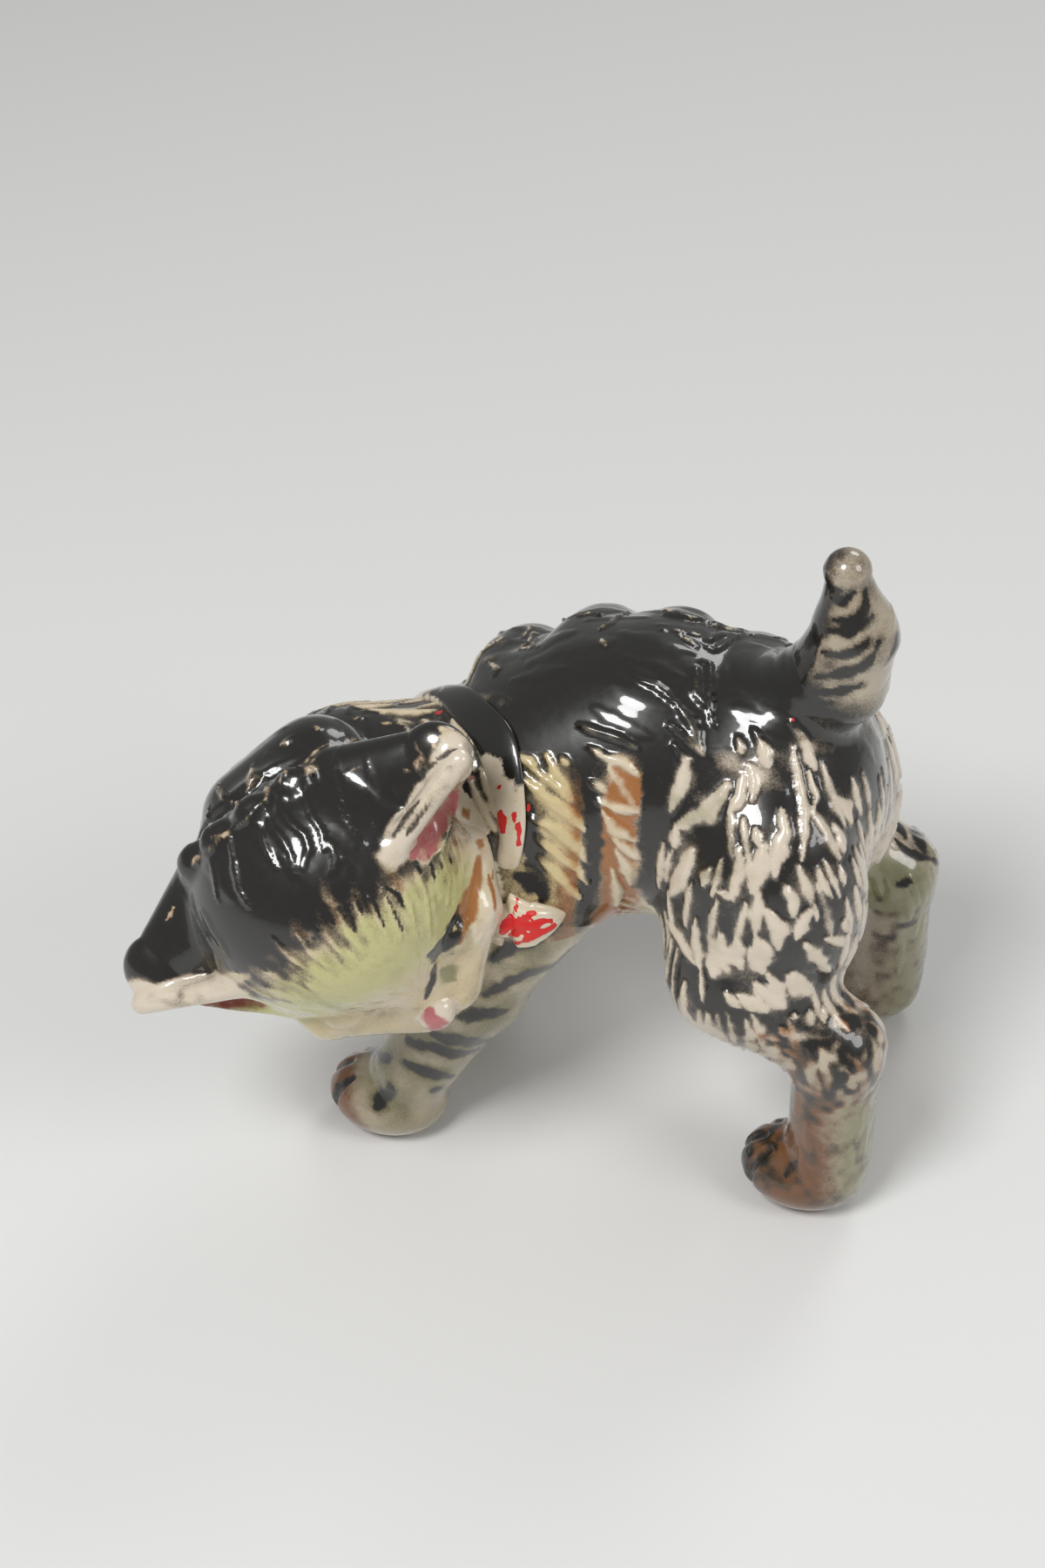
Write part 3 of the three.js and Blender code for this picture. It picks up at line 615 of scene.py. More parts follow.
FLANK_LOCKS = (
    (12, 596, 890, 616, 907, 645, 928, 670, 952), (11, 608, 938, 633, 952, 658, 969, 676, 990),
    (9, 616, 961, 639, 981, 662, 998, 676, 1015), (12, 620, 986, 641, 1006, 666, 1031),
    (8, 616, 886, 639, 903, 654, 919), (7, 587, 865, 608, 874, 616, 886), (6, 645, 869, 652, 878),
    (8, 664, 832, 687, 840, 716, 849, 732, 859), (9, 676, 857, 695, 869, 716, 876, 732, 890),
    (7, 676, 896, 695, 907), (9, 687, 919, 708, 928, 732, 932), (11, 693, 932, 703, 952, 728, 965),
    (10, 703, 961, 716, 973, 732, 986), (11, 708, 977, 720, 998, 724, 1015),
    (9, 703, 998, 710, 1023, 708, 1039), (7, 732, 780, 753, 787, 776, 807),
    (12, 776, 807, 795, 832, 807, 865), (6, 768, 832, 786, 845, 807, 865),
    (9, 799, 766, 799, 791, 811, 811), (6, 803, 758, 815, 762, 815, 799, 819, 832),
    (11, 774, 855, 788, 874, 782, 899, 770, 932), (10, 865, 836, 875, 853, 882, 878),
    (7, 846, 845, 853, 865), (8, 861, 878, 867, 899, 863, 919), (11, 907, 828, 923, 849, 936, 882),
    (9, 911, 857, 915, 890, 923, 923, 921, 986), (7, 929, 886, 938, 915, 933, 932),
    (12, 960, 915, 973, 928, 977, 944), (13, 958, 948, 965, 961, 969, 977),
    (18, 836, 903, 815, 932, 795, 940, 778, 948), (10, 853, 890, 849, 915, 836, 932),
    (12, 898, 928, 902, 957, 894, 981, 890, 1006), (8, 867, 952, 871, 969),
    (18, 878, 973, 869, 998, 865, 1023), (9, 776, 948, 774, 973), (15, 795, 977, 782, 1006, 770, 1027),
    (10, 849, 973, 849, 1002, 840, 1031), (12, 815, 998, 807, 1015), (7, 824, 1023, 840, 1031),
    (6, 761, 969, 757, 998, 757, 1019), (9, 902, 1019, 911, 1035, 911, 1052),
    (8, 940, 998, 948, 1019, 956, 1031), (7, 965, 994, 969, 1015),
    (12, 766, 1056, 782, 1081, 799, 1106), (10, 799, 1056, 799, 1085, 803, 1110),
    (21, 828, 1073, 824, 1093, 819, 1118), (15, 849, 1081, 844, 1102),
    (19, 869, 1077, 878, 1093, 873, 1110), (17, 882, 1048, 894, 1068, 894, 1089),
    (12, 931, 1044, 923, 1060, 915, 1077), (6, 936, 1039, 938, 1056), (7, 969, 1056, 973, 1068),
    (10, 948, 1077, 969, 1083), (10, 882, 1118, 890, 1139), (17, 911, 1118, 919, 1135),
    (11, 927, 1085, 940, 1102, 952, 1114), (12, 849, 1143, 865, 1160),
    (12, 873, 1135, 890, 1147, 902, 1156), (10, 832, 1139, 849, 1156), (24, 820, 1080, 832, 1110),
    (14, 845, 1095, 850, 1110), (16, 868, 1080, 868, 1105, 875, 1115), (10, 885, 1120, 900, 1145),
    (12, 868, 1130, 890, 1150), (12, 850, 1145, 880, 1160), (14, 925, 1085, 945, 1105),
    (20, 905, 1120, 930, 1140), (10, 895, 1180, 905, 1190), (6, 880, 1190, 895, 1195),
    (8, 912, 1166, 912, 1170), (8, 930, 1160, 932, 1175), (6, 945, 1155, 948, 1170),
    (6, 900, 1205, 915, 1212),
)

FLANK_INKS = (
    (40, 578, 862, 594, 896, 606, 932, 612, 985, 624, 1030),
    (18, 643, 845, 674, 890, 681, 932, 683, 973, 682, 1015, 674, 1039),
    (18, 745, 865, 747, 915, 747, 973, 748, 1015, 749, 1039), (25, 596, 832, 633, 845, 670, 869),
    (8, 958, 675, 960, 683), (5, 954, 687, 969, 691, 981, 679),
    (7, 958, 712, 985, 712, 996, 695, 994, 679), (7, 948, 724, 977, 724, 1002, 708),
    (7, 944, 749, 973, 753, 998, 737), (7, 936, 778, 965, 774, 998, 762, 1010, 737),
    (7, 923, 795, 956, 795, 989, 787), (7, 894, 807, 923, 807, 956, 807),
    (6, 890, 820, 923, 824, 948, 820), (6, 1033, 700, 1031, 729, 1018, 762),
    (12, 946, 683, 940, 708, 936, 737, 923, 774),
)

CROWN_WAVES = (
    (8, 326, 895, 322, 925, 333, 945, 350, 958, 355, 975, 348, 998),
    (9, 305, 925, 312, 950, 325, 965, 335, 985, 338, 1005), (8, 296, 945, 306, 975, 318, 998),
    (11, 262, 960, 268, 990, 272, 1020, 285, 1040), (8, 388, 915, 396, 935, 410, 955, 418, 968),
    (7, 418, 905, 424, 930, 430, 955), (8, 350, 880, 347, 910, 356, 935, 370, 955, 374, 980),
    (9, 240, 985, 246, 1010, 250, 1035), (10, 388, 860, 384, 885, 392, 905),
    (12, 378, 965, 388, 985, 380, 1005), (9, 420, 870, 428, 895, 440, 920),
)
RIDGE_EDGES = (
    (5, 222, 992, 238, 978, 252, 962, 268, 950, 284, 940, 296, 925, 302, 920),
    (5, 320, 900, 328, 886, 340, 874), (5, 344, 880, 358, 868, 372, 856, 380, 853),
    (4, 392, 856, 404, 850, 424, 846), (4, 240, 962, 256, 958, 270, 950),
    (3, 392, 890, 404, 884, 416, 880), (8, 222, 990, 230, 984), (4, 190, 1058, 200, 1042),
    (12, 360, 872, 352, 888),
)
BACK_EDGES = (
    (3, 526, 800, 530, 780, 540, 764, 552, 750, 566, 738, 578, 732),
    (4, 597, 744, 606, 738, 612, 727, 628, 714, 650, 706, 668, 703),
    (3, 600, 733, 612, 716, 630, 706, 655, 702), (3, 664, 706, 682, 704, 694, 706),
    (4, 688, 722, 700, 716, 710, 708, 722, 702), (5, 762, 700, 780, 704, 796, 712),
    (3, 790, 714, 820, 718, 850, 724, 868, 730), (3, 760, 722, 790, 726, 812, 732),
    (4, 780, 728, 800, 742), (4, 562, 760, 572, 768, 566, 776), (4, 690, 734, 696, 742),
    (4, 596, 745, 606, 744, 618, 742),
)
NAPE_LOCKS = (
    (11, 290, 878, 289, 893, 283, 910), (9, 304, 896, 308, 906, 304, 918),
    (6, 250, 902, 256, 914, 266, 920), (6, 262, 910, 272, 922, 280, 928),
    (5, 240, 924, 238, 940, 244, 950), (6, 322, 856, 330, 850, 336, 846), (4, 408, 826, 418, 822),
    (5, 434, 830, 452, 830), (4, 362, 832, 366, 840), (3, 462, 818, 478, 814),
    (4, 200, 1040, 194, 1056), (6, 500, 796, 508, 790),
)
FOREHEAD_INKS = (
    (7, 290, 1058, 304, 1076, 318, 1096), (7, 276, 1085, 290, 1104, 310, 1118),
    (6, 318, 1058, 332, 1078, 340, 1090), (7, 345, 1050, 352, 1066, 360, 1078),
    (6, 370, 1035, 380, 1055, 386, 1066), (6, 392, 1030, 403, 1052, 408, 1070),
    (5, 408, 1026, 416, 1050), (5, 424, 1024, 434, 1046, 441, 1064),
    (5, 444, 1030, 455, 1052, 463, 1070), (5, 438, 1015, 458, 1028, 466, 1046),
    (5, 490, 978, 497, 998, 500, 1014), (5, 499, 974, 508, 998), (4, 478, 990, 485, 1008),
    (4, 515, 975, 520, 995),
)
FOREHEAD_LOCKS = (
    (7, 312, 1075, 330, 1098, 350, 1112), (7, 338, 1068, 356, 1094, 378, 1112),
    (7, 366, 1058, 384, 1086, 404, 1106), (7, 388, 1046, 400, 1070, 420, 1096),
    (7, 404, 1034, 420, 1062, 436, 1088), (7, 420, 1028, 436, 1058, 450, 1082),
    (7, 437, 1022, 452, 1050, 462, 1080), (7, 458, 1010, 472, 1040, 478, 1070),
    (7, 476, 1000, 490, 1030, 494, 1060), (6, 506, 980, 516, 1010, 514, 1040),
    (6, 524, 962, 532, 990, 530, 1020), (6, 535, 945, 545, 975, 545, 1000),
)
FORELEG_INKS = (
    (9, 565, 1102, 590, 1088, 612, 1082, 642, 1064),
    (8, 558, 1142, 585, 1128, 612, 1117, 640, 1106, 656, 1090),
    (8, 530, 1168, 555, 1164, 582, 1161, 606, 1152, 622, 1144),
    (11, 498, 1188, 530, 1195, 560, 1195, 582, 1184),
    (9, 468, 1194, 500, 1205, 526, 1211, 548, 1206, 572, 1199),
    (8, 465, 1220, 490, 1230, 520, 1236, 542, 1235), (7, 500, 1252, 520, 1246, 536, 1240),
    (9, 538, 1172, 542, 1160), (9, 430, 1202, 445, 1216), (12, 434, 1270, 448, 1250),
)
HIND_INKS = (
    (13, 920, 1180, 945, 1186, 968, 1184), (10, 965, 1166, 985, 1174, 998, 1196, 998, 1226),
    (6, 955, 1232, 974, 1254, 986, 1252), (9, 962, 1205, 972, 1220), (10, 900, 1352, 914, 1334),
    (18, 872, 1300, 890, 1318), (8, 830, 1128, 850, 1132), (12, 888, 1098, 900, 1122),
    (9, 872, 1124, 882, 1128),
)

EYE_GROOVE = (
    (27, 550, 985, 547, 1006, 541, 1030, 535, 1055, 528, 1082), (10, 560, 1000, 566, 1022, 568, 1046),
)
CHEEK_SPOTS = ((20, 533, 930, 537, 938), (20, 548, 966, 556, 970), (6, 566, 995, 566, 1010))
CHEEK_TINTS = ((30, 545, 950, 556, 985), (16, 556, 1040, 548, 1075), (14, 520, 965, 530, 990))
EYE_SLIT = ((32, 526, 1044, 519, 1062, 512, 1076, 503, 1092, 497, 1106),)
MUZZLE_SMUDGE = ((17, 500, 1108, 497, 1124, 489, 1146),)
FOREHEAD_TINTS = (
    (26, 300, 1070, 320, 1095), (26, 335, 1050, 352, 1075), (24, 372, 1036, 388, 1060),
    (22, 410, 1022, 424, 1046), (20, 448, 1000, 462, 1022),
)
EAR_WISPS = (
    (9, 476, 852, 483, 868, 479, 886), (8, 492, 842, 500, 856, 498, 868), (7, 464, 884, 472, 894),
    (10, 505, 846, 517, 858), (6, 452, 900, 456, 916),
)
BELOW_RIBBON = ((34, 592, 1006, 610, 1012, 626, 1030),)
FAR_HOCK_INKS = ((22, 1046, 956, 1056, 964, 1062, 980), (18, 1030, 1016, 1046, 1012))
RIM_WRINKLES = (
    (10, 450, 962, 464, 940, 482, 918), (9, 466, 960, 480, 940, 494, 922),
    (12, 500, 872, 514, 866, 524, 860), (14, 474, 902, 484, 884, 500, 876),
)
LEFT_RIM = ((42, 446, 972, 464, 944, 488, 914, 512, 890, 534, 872), (26, 540, 876, 528, 850, 506, 836))
RIGHT_RIM = ((44, 168, 1146, 205, 1148, 245, 1134), (30, 245, 1134, 285, 1120))
LEFT_POCKET = ((34, 474, 980, 498, 952, 522, 922, 540, 894),)
MUZZLE_SIDE = ((20, 503, 1088, 501, 1110), (30, 508, 1114, 522, 1124), (20, 512, 1080, 520, 1096))
# Painted shade along the lower edge of the face: an olive wash, and dark lines in the right eye's crease
JAW_SHADE = ((40, 312, 1118, 370, 1150, 440, 1165),)
JAW_SHADE_LINES = ((4, 398, 1163, 425, 1160), (4, 425, 1160, 450, 1154))
RED_SPECKS = ((12, 499, 817, 508, 816), (5, 909, 825, 911, 825), (6, 605, 920, 608, 934))
EYE_GLINT = ((9, 524, 1062, 521, 1069),)

HALO = 2.1  # how much wider than a lock the thin colour round it is
MIRROR, MIRROR_SHIFT = np.array([1, -1, 1]), np.array([0, 1.5, 0])
taken = np.zeros(len(points), bool)


def mark(layer, strokes, amount=1.0, widen=1.0, belly=0.5, mirror=True, point=0.35):
    """Strokes named by their pixels, and their images on the hidden side of the body."""
    for width, *pixels in strokes:
        path = kitten_skin.line(pixels)
        copies = [path]
        if mirror:
            copies.append([kitten_skin.nearest(place * MIRROR + MIRROR_SHIFT) for place in path])
        for copy in copies:
            size = width * PIXEL_MM * widen
            taken[kitten_skin.stroke(layer, copy, size, amount, belly, point)] = True
            if layer == "lock":
                kitten_skin.stroke("halo", copy, size * HALO, amount)


mark("lock", FLANK_LOCKS, belly=0.6, widen=1.5)
mark("ink", FLANK_INKS[:1], 0.8, point=0.7)
mark("ink", FLANK_INKS[1:4], 0.95, widen=1.25, point=0.8)
mark("ink", FLANK_INKS[4:], 1.0, widen=2.3)
mark("ink", FLANK_INKS[4:], 0.36, widen=4.6, point=0.7)
mark("ink", FORELEG_INKS, 0.95, widen=2.6, point=0.5)
mark("ink", FORELEG_INKS, 0.3, widen=5.0, point=0.7)
mark("halo", FORELEG_INKS, 0.8, widen=4.2, point=0.5)
mark("ink", HIND_INKS, 0.75, widen=1.7)
for path in TOE_PATHS:
    kitten_skin.stroke("ink", [kitten_skin.nearest(place) for place in path], 1.5, 0.8, 0.5, 0.6)
mark("lock", CROWN_WAVES, 0.8, mirror=False)
mark("lock", NAPE_LOCKS, widen=1.2, mirror=False)
mark("lock", FOREHEAD_LOCKS, 0.7, mirror=False)
stripes = kitten_skin.layers["ink"].copy()
kitten_skin.layers["ink"][:] = 0


def scatter(zone, count, length, width, amount=1.0, belly=0.6, room=0.75):
    """Locks of fur spread over a zone, each clear of the ones before it."""
    free = np.flatnonzero(zone & ~taken)
    rng.shuffle(free)
    placed = 0
    for index in free:
        if placed == count:
            break
        if taken[index]:
            continue
        size = rng.uniform(0.7, 1.25)
        path = kitten_skin.follow(points[index], flow, length * size)
        found, share, off = kitten_skin.around(path, width * 1.5)
        if taken[found[off < width * 0.3]].mean() > 0.25:
            taken[index] = True
            continue
        strength = amount * rng.uniform(0.65, 1)
        kitten_skin.stroke("lock", path, width * size, strength, belly)
        kitten_skin.stroke("halo", path, width * size * HALO, strength)
        taken[found[off < width * room]] = True
        placed += 1


on_trunk = ~on_head & ~on_tail
shins = (on_fore | on_hind) & (Z <= 30) & (Z > 9)
scatter(on_head & (F < 1) & (U > -6), 24, 8.0, 2.4, 0.4)
scatter(on_head & (F >= 1) & (F < 12) & (U > 0), 50, 4.0, 0.9, 0.4)
scatter(on_head & (U <= 0) & (F > -12), 60, 4.5, 1.3, 0.5)
scatter(on_trunk & (Z > 55), 40, 9.0, 2.8, 0.3)
scatter(on_trunk & ~on_fore & (Z <= 56) & (Z > 26) & (X < 3), 150, 6.5, 1.4, 0.75, room=0.55)
scatter(on_trunk & (X >= 3) & (Z <= 56) & (Z > 22), 210, 5.8, 1.35, 0.8, room=0.62)
scatter(shins, 120, 4.5, 1.0, 0.45)
scatter(on_tail, 40, 5.0, 1.5, 0.5)

# Colours. Cover is the black underglaze, wear is how much of it the top of a lock has lost, and the
# other names are the layers of the skin.

paint = kitten_skin.layers
rough, fine = grain(points, 3.0, 11), grain(points, 1.1, 12)
lock, halo = paint["lock"], paint["halo"]
cover, cream, wear = [np.full(len(points), value) for value in (0.75, 0.45, 0.95)]
green, brown = np.zeros(len(points)), np.zeros(len(points))

# Saddle over the back, from which the light edges of the locks hardly show
lower_edge = 53.5 + 2.2 * ease(X, 2, 6)
back_black = ease(Z + rough * 1.6 + fine * 0.8 - lower_edge, 0, 3.8)
cover = cover + (1.05 - cover) * back_black
wear = wear - 0.62 * back_black
# Shoulder patch, cream, between the ribbon and the first dark line
patch = ease(X, -15, -12.5) * (1 - ease(X, -5.4, -4.6)) * (1 - back_black) * ease(Z, 24, 28)
cream = cream + patch * 0.5
cover = cover - patch * (0.46 - 0.14 * rough - 0.3 * ease(Z + 1.5 * rough, 44, 54))
green = green + patch * (0.2 + 0.3 * rough)
brown = brown + patch * ease(X + rough * 0.8, -8.5, -5.2) * (1 - 0.6 * lock)
# Brown band between the two dark lines
band_x = X + (0.55 * rough + 0.35 * fine)
band = ease(band_x, -4.0, -2.7) * (1 - ease(band_x, -0.1, 1.3)) * (1 - back_black) * ease(Z, 24, 28)
brown = brown + band * (1.15 - 0.75 * lock - 0.25 * halo + 0.3 * rough)
cover = cover - band * (0.66 - 0.12 * fine)
# Haunch and thigh, black and green between white locks
rear = ease(X, 1.5, 4.0) * (1 - back_black)
green = green + rear * ease(rough, -0.1, 0.6) * (0.55 - 0.3 * ease(X, 8, 14))
cream = cream - rear * 0.3
cover = cover + rear * (0.1 + 0.25 * rough)
# Belly and the insides of the legs, light grey-green
under = ease(-normal_z, 0.1, 0.7) * (Z < 40) * (Z > 14)
inside = ease(-np.sign(Y - 1) * normal_y, 0.1, 0.7) * (Z < 36)
pale = np.clip(under + inside, 0, 1) * ~on_head
cover = cover - pale * 0.55
green = green + pale * 0.35
# Rear of the thighs and of the hocks, a painted rim highlight: lighter where the skin faces back
rim = ease(normal_x + 0.1 * rough, 0.7, 1.0) * ease(X, 14, 18) * ease(50 - Z + 2 * rough, 0, 9)
cover = cover - rim * 0.3
# Forelegs, cream with the cross stripes, and brown toes
shin = (on_fore & (Z < 34)).astype(float)
cover = blend(cover, 0.16 + 0.14 * rough, shin)
cream = blend(cream, 0.5 + 0.2 * rough, shin)
green = blend(green, 0.5 + 0.35 * rough + 0.5 * halo, shin)
far_leg = shin * (Y > 2)
stripe_run = np.sin((Z * 0.92 - X * 0.45) * 1.15 + rough * 1.2 + fine * 0.5)
cover = cover + far_leg * ease(stripe_run, 0.1, 0.6) * 0.9
toe = 1.1 * ease(-X + 0.9 * rough - 0.55 * (Z - 2), 24.5, 29.5) * (on_fore & (Z < 10))
brown = brown * (1 - shin) + toe * (1 - 0.75 * far_leg)
# Hind legs below the knee, brown in front and greenish behind
shank = (on_hind & (Z < 24)).astype(float)
shank_fade = shank * ease(26 - Z, 2, 7)
far_hind = ease(Y, 2, 5)
front = ease(24 - X + 0.8 * rough, -4.5, 2.5)
hock = ease(Z + rough, 13, 17) * ease(26 - Z, 0, 4) * ease(25.5 - X + 0.8 * rough, -2.5, 1.5)
shank_cover = 0.2 + 0.2 * rough + 0.3 * fine + 0.3 * front * hock * (1 - far_hind)
cover = blend(cover, shank_cover, shank_fade)
brown = brown + shank_fade * front * (1.05 + 0.15 * rough) * (1 - 0.85 * far_hind)
green = green * (1 - shank_fade) + shank_fade * (1 - front) * 0.75
hind_top = shank * (Z < 12) * ease(normal_z + 0.3 * rough, -0.3, 0.6) * ease(20 - X, -2, 3)
cover = cover + hind_top * (0.3 + 0.4 * fine) * (1 - far_hind)
far_patch = far_hind * on_hind * ease(Z, 19, 22) * (1 - ease(Z, 27, 30))
cover = cover - ease(Z, 28, 32) * far_hind * on_hind * 0.35
green = green + far_patch * 0.5
cover = cover + far_patch * (0.2 + 0.2 * rough)
# Hocks, mottled with brown, and the far one paler round a dark patch
mottled = on_hind * ease(Z + rough, 15, 19) * (1 - ease(Z, 28, 33)) * ease(X, 13, 17)
brown = brown + mottled * (0.45 + 0.9 * fine) * (1 - far_hind)
cover = cover - mottled * (0.2 - 0.7 * fine) * (1 - 0.5 * far_hind)
far_hock = far_hind * on_hind * ease(X, 19, 22) * ease(Z, 24, 27) * (1 - ease(Z, 34, 38))
cover = cover - far_hock * 0.6
# Tail, grey-white with dark bands in front and on the left
tail_on = ease(Z + 2.5 * normal_x + rough, 61, 65.5) * by_casting["tail"]
tail_side = ease(normal_y - 0.3 * normal_x, 0.0, 0.6)
tail_front = ease(-normal_x + 0.3 * rough, 0.1, 0.9)
tail_band = ease(np.sin((Z - 0.55 * normal_x * 3 + rough * 0.8) * 2.25), 0.0, 0.9)
tail_cover = 0.24 + 0.34 * ease(0.4 * fine - normal_x, 0.0, 0.8) + 0.2 * rough + 0.3 * tail_front
tail_cover = tail_cover + 0.55 * tail_band * np.maximum(tail_side, 0.8 * tail_front)
cover, cream = blend(cover, tail_cover, tail_on), blend(cream, 0.12, tail_on)
green, brown = green * (1 - tail_on), brown * (1 - tail_on)
# Under the whole, the paws' soles stay bare
cover = cover - ease(1.2 - Z, 0, 0.8) * 0.5
# Head, black behind a streaked line over the forehead, and pale in front of it
boundary = 0.6 + 0.8 * np.sin(L * 1.1 + rough) + 0.9 * fine
streaks = np.sin(np.arctan2(L, 15.2 - F + 3) * 52 + rough * 2.4)
boundary = boundary + np.maximum(streaks, 0) * 1.5 + 0.8
pale_face = np.clip(ease(F - boundary, -6.0, 4.5) + ease(-U, 2, 6) * ease(F, -6, 0), 0, 1)
cover = np.where(on_head, 1.0 - 0.95 * pale_face + 0.1 * fine, cover)
wear = np.where(on_head, 0.30 + 0.4 * pale_face, wear)
cream = np.where(on_head, 0.6 * pale_face + 0.5 * (1 - pale_face), cream)
lime = pale_face * ease(F + rough * 1.5, 0, 3) * (1 - ease(F + 0.15 * np.abs(L - 3), 8.5, 13)) * on_head
lime = lime * (1 - 0.7 * ease(L, 7.5, 10) * ease(-U, -4, 2))
# Painted shade: an olive band along the crease of the right eye, low on the face
crease = np.exp(-(((U + 3.0) / 2.0) ** 2)) * ease(-L, 0, 4) * on_head * ease(F, 2, 6)
head_green = pale_face * (0.2 + 0.15 * rough) * (1 - ease(F, 12.5, 15))
puffed = ease(L, 7, 9.5) * ease(-U, -4, 2) * pale_face * on_head
green = np.where(on_head, head_green * (1 - 0.85 * puffed), green) + crease * 0.45
cream[on_head] *= 1 - 0.5 * puffed[on_head]
cover[on_head] -= 0.2 * puffed[on_head]
brown = np.where(on_head, 0.5 * (1 - pale_face), brown)
# The lower legs darker towards the floor, partly their greyer glaze and partly painted shade, and the tail's
# glaze greyer than the rest
dusk = ease(34 - Z + rough, 0, 14) * ~on_head + tail_on * 0.8
paint.update(cream=cream, green=green, brown=brown, lime=lime, dusk=dusk, ink=np.zeros(len(points)))

for layer, strokes, amount, widen in (
    ("brown", EYE_GROOVE, 1.05, 1.0),
    ("brown", CHEEK_SPOTS, 0.9, 1.0),
    ("brown", CHEEK_TINTS, 0.32, 1.0),
    ("green", MUZZLE_SIDE, 1.0, 1.0),
    # painted shade, olive, on the lower face
    ("green", JAW_SHADE, 0.5, 1.0),
    ("brown", FOREHEAD_TINTS, 0.6, 1.0),
    ("ink", EYE_SLIT, 1.3, 1.0),
    ("ink", MUZZLE_SMUDGE, 0.85, 1.0),
    ("ink", FOREHEAD_INKS, 0.9, 1.0),
    # painted shade, dark lines in the right eye's crease
    ("ink", JAW_SHADE_LINES, 0.35, 1.0),
    ("lock", RIDGE_EDGES + BACK_EDGES, 0.8, 1.6),
    ("worn", RIDGE_EDGES + BACK_EDGES + NAPE_LOCKS + EAR_WISPS, 1.0, 1.7),
    ("ink", BELOW_RIBBON, 0.9, 1.0),
    ("ink", FAR_HOCK_INKS, 0.9, 1.0),
):
    kitten_skin.draw(layer, strokes, amount, widen)
dark = paint["ink"]
# The nose's pink pad
pad_off = np.linalg.norm((face_at - PAD_AT) / PAD, axis=1)
pad = 1 - ease(pad_off, 0.85, 1.1)
paint["pink"] = pad * ease(1.4 - L + 0.5 * fine, 0, 1.2)
for values in (cover, green, cream):
    values *= 1 - pad


def from_line(start, direction):
    """Each vertex's distance from a line in the head's frame, and its place along the line."""
    away = face_at - start
    along = away @ direction
    return np.linalg.norm(away - along[:, None] * direction, axis=1), along


# Ears: pink scoops between white rims, and black backs
for side in SIDES:
    root, tip = np.array(mirrored(EAR_ROOT[side], side)), np.array(mirrored(EAR_TIP[side], side))
    axis = unit(tip - root)
    off, along = from_line(root, axis)
    run = ease(along, -1.0, 0.5) * (1 - ease(along, 13.6, 15))
    white_rim = (1 - ease(off + fine * 0.3, 1.7, 2.4)) * run
    tip_white = 1 - ease(np.linalg.norm(face_at - tip, axis=1), 2.2, 3.6)
    rubbed = np.clip(white_rim + tip_white, 0, 1) * on_head
    cover[:] = blend(cover, 0.05, rubbed)
    cream[:] = blend(cream, 0.2, rubbed)
    for values in (brown, green):
        values *= 1 - rubbed
    off, along = from_line(root + POCKET_DOWN, axis)
    pocket = (1 - ease(off + fine * 0.35, 1.5, 2.1)) * run * ease(10.5 - along, -1, 1)
    pocket = pocket * on_head * (1 - white_rim * 0.9)
    paint["pink"] = np.maximum(paint["pink"], pocket * 0.8)
    cover *= 1 - pocket

kitten_skin.draw("bare", LEFT_RIM + RIGHT_RIM)
kitten_skin.draw("pink", LEFT_POCKET, 1.1)
paint["pink"] *= 0.8 + 0.5 * grain(face_at * [0.35, 1, 1], 0.9, 15)
cover = blend(cover, 0.1 + 0.3 * fine, paint["bare"])
kitten_skin.draw("ink", RIM_WRINKLES, 0.6)
for values in (brown, green):
    values *= 1 - paint["bare"]
cover *= 1 - np.clip(paint["pink"], 0, 1)
worn = paint["worn"]
cover = cover - worn * np.clip(0.45 + 0.7 * grain(points, 0.7, 14) + 0.4 * rough, 0, 1)
paint["brown"] = brown * (1 - 0.5 * worn) + worn * 0.12
kitten_skin.draw("red", RED_SPECKS, 1.2)
kitten_skin.draw("glint", EYE_GLINT, 1.4)
thinned = cover - lock * wear - 0.3 * halo * (1 - back_black) * ~(on_head | on_fore)
lines = np.maximum(stripes * (1 + 0.35 * fine), dark) * 1.1 - lock * 0.25
paint["ink"] = np.maximum(thinned, lines) - paint["glint"]
for layer in ("ink", "brown", "green", "cream"):
    paint[layer] = np.clip(paint[layer], 0, 1)

scene = bpy.context.scene

# Relief: the locks stand proud, least where the skin is closest to the limits of the part

BODY_FUR, HEAD_FUR, LOW_FUR = 0.42, 0.3, 0.22  # how high a lock stands over the ground between
NEAR_LIMIT = 0.2

height = np.full(len(points), BODY_FUR)
height[on_head] = HEAD_FUR
height[on_tail | shins] = LOW_FUR
relief = height * (np.clip(lock, 0, 1) - 0.3)
relief = relief * ease(Z, 3, 8) * ease(77.5 - Z, 0, 2)
relief[(np.abs(L) > 11) & on_head] *= 0.3
relief[on_head & (F > 12.5)] *= 0.3
fired = points + normals * relief[:, None]


def room_left(gap):
    return (gap + np.hypot(gap, NEAR_LIMIT)) / 2


# Nothing stands past the limits of the castings: near them the skin is eased inwards
for axis in range(3):
    fired[:, axis] = part_high[axis] - room_left(part_high[axis] - fired[:, axis])
    if axis < 2:
        fired[:, axis] = part_low[axis] + room_left(fired[:, axis] - part_low[axis])
fired[:, 2] = np.maximum(fired[:, 2], 0)


def shading_normals(vertices, faces):
    first, second, third, fourth = [vertices[corner] for corner in faces.T]
    turns = np.cross(third - first, fourth - second)
    total = np.zeros_like(vertices)
    for corner in faces.T:
        np.add.at(total, corner, turns)
    return total / np.linalg.norm(total, axis=1)[:, None]


shading = shading_normals(fired, quads)


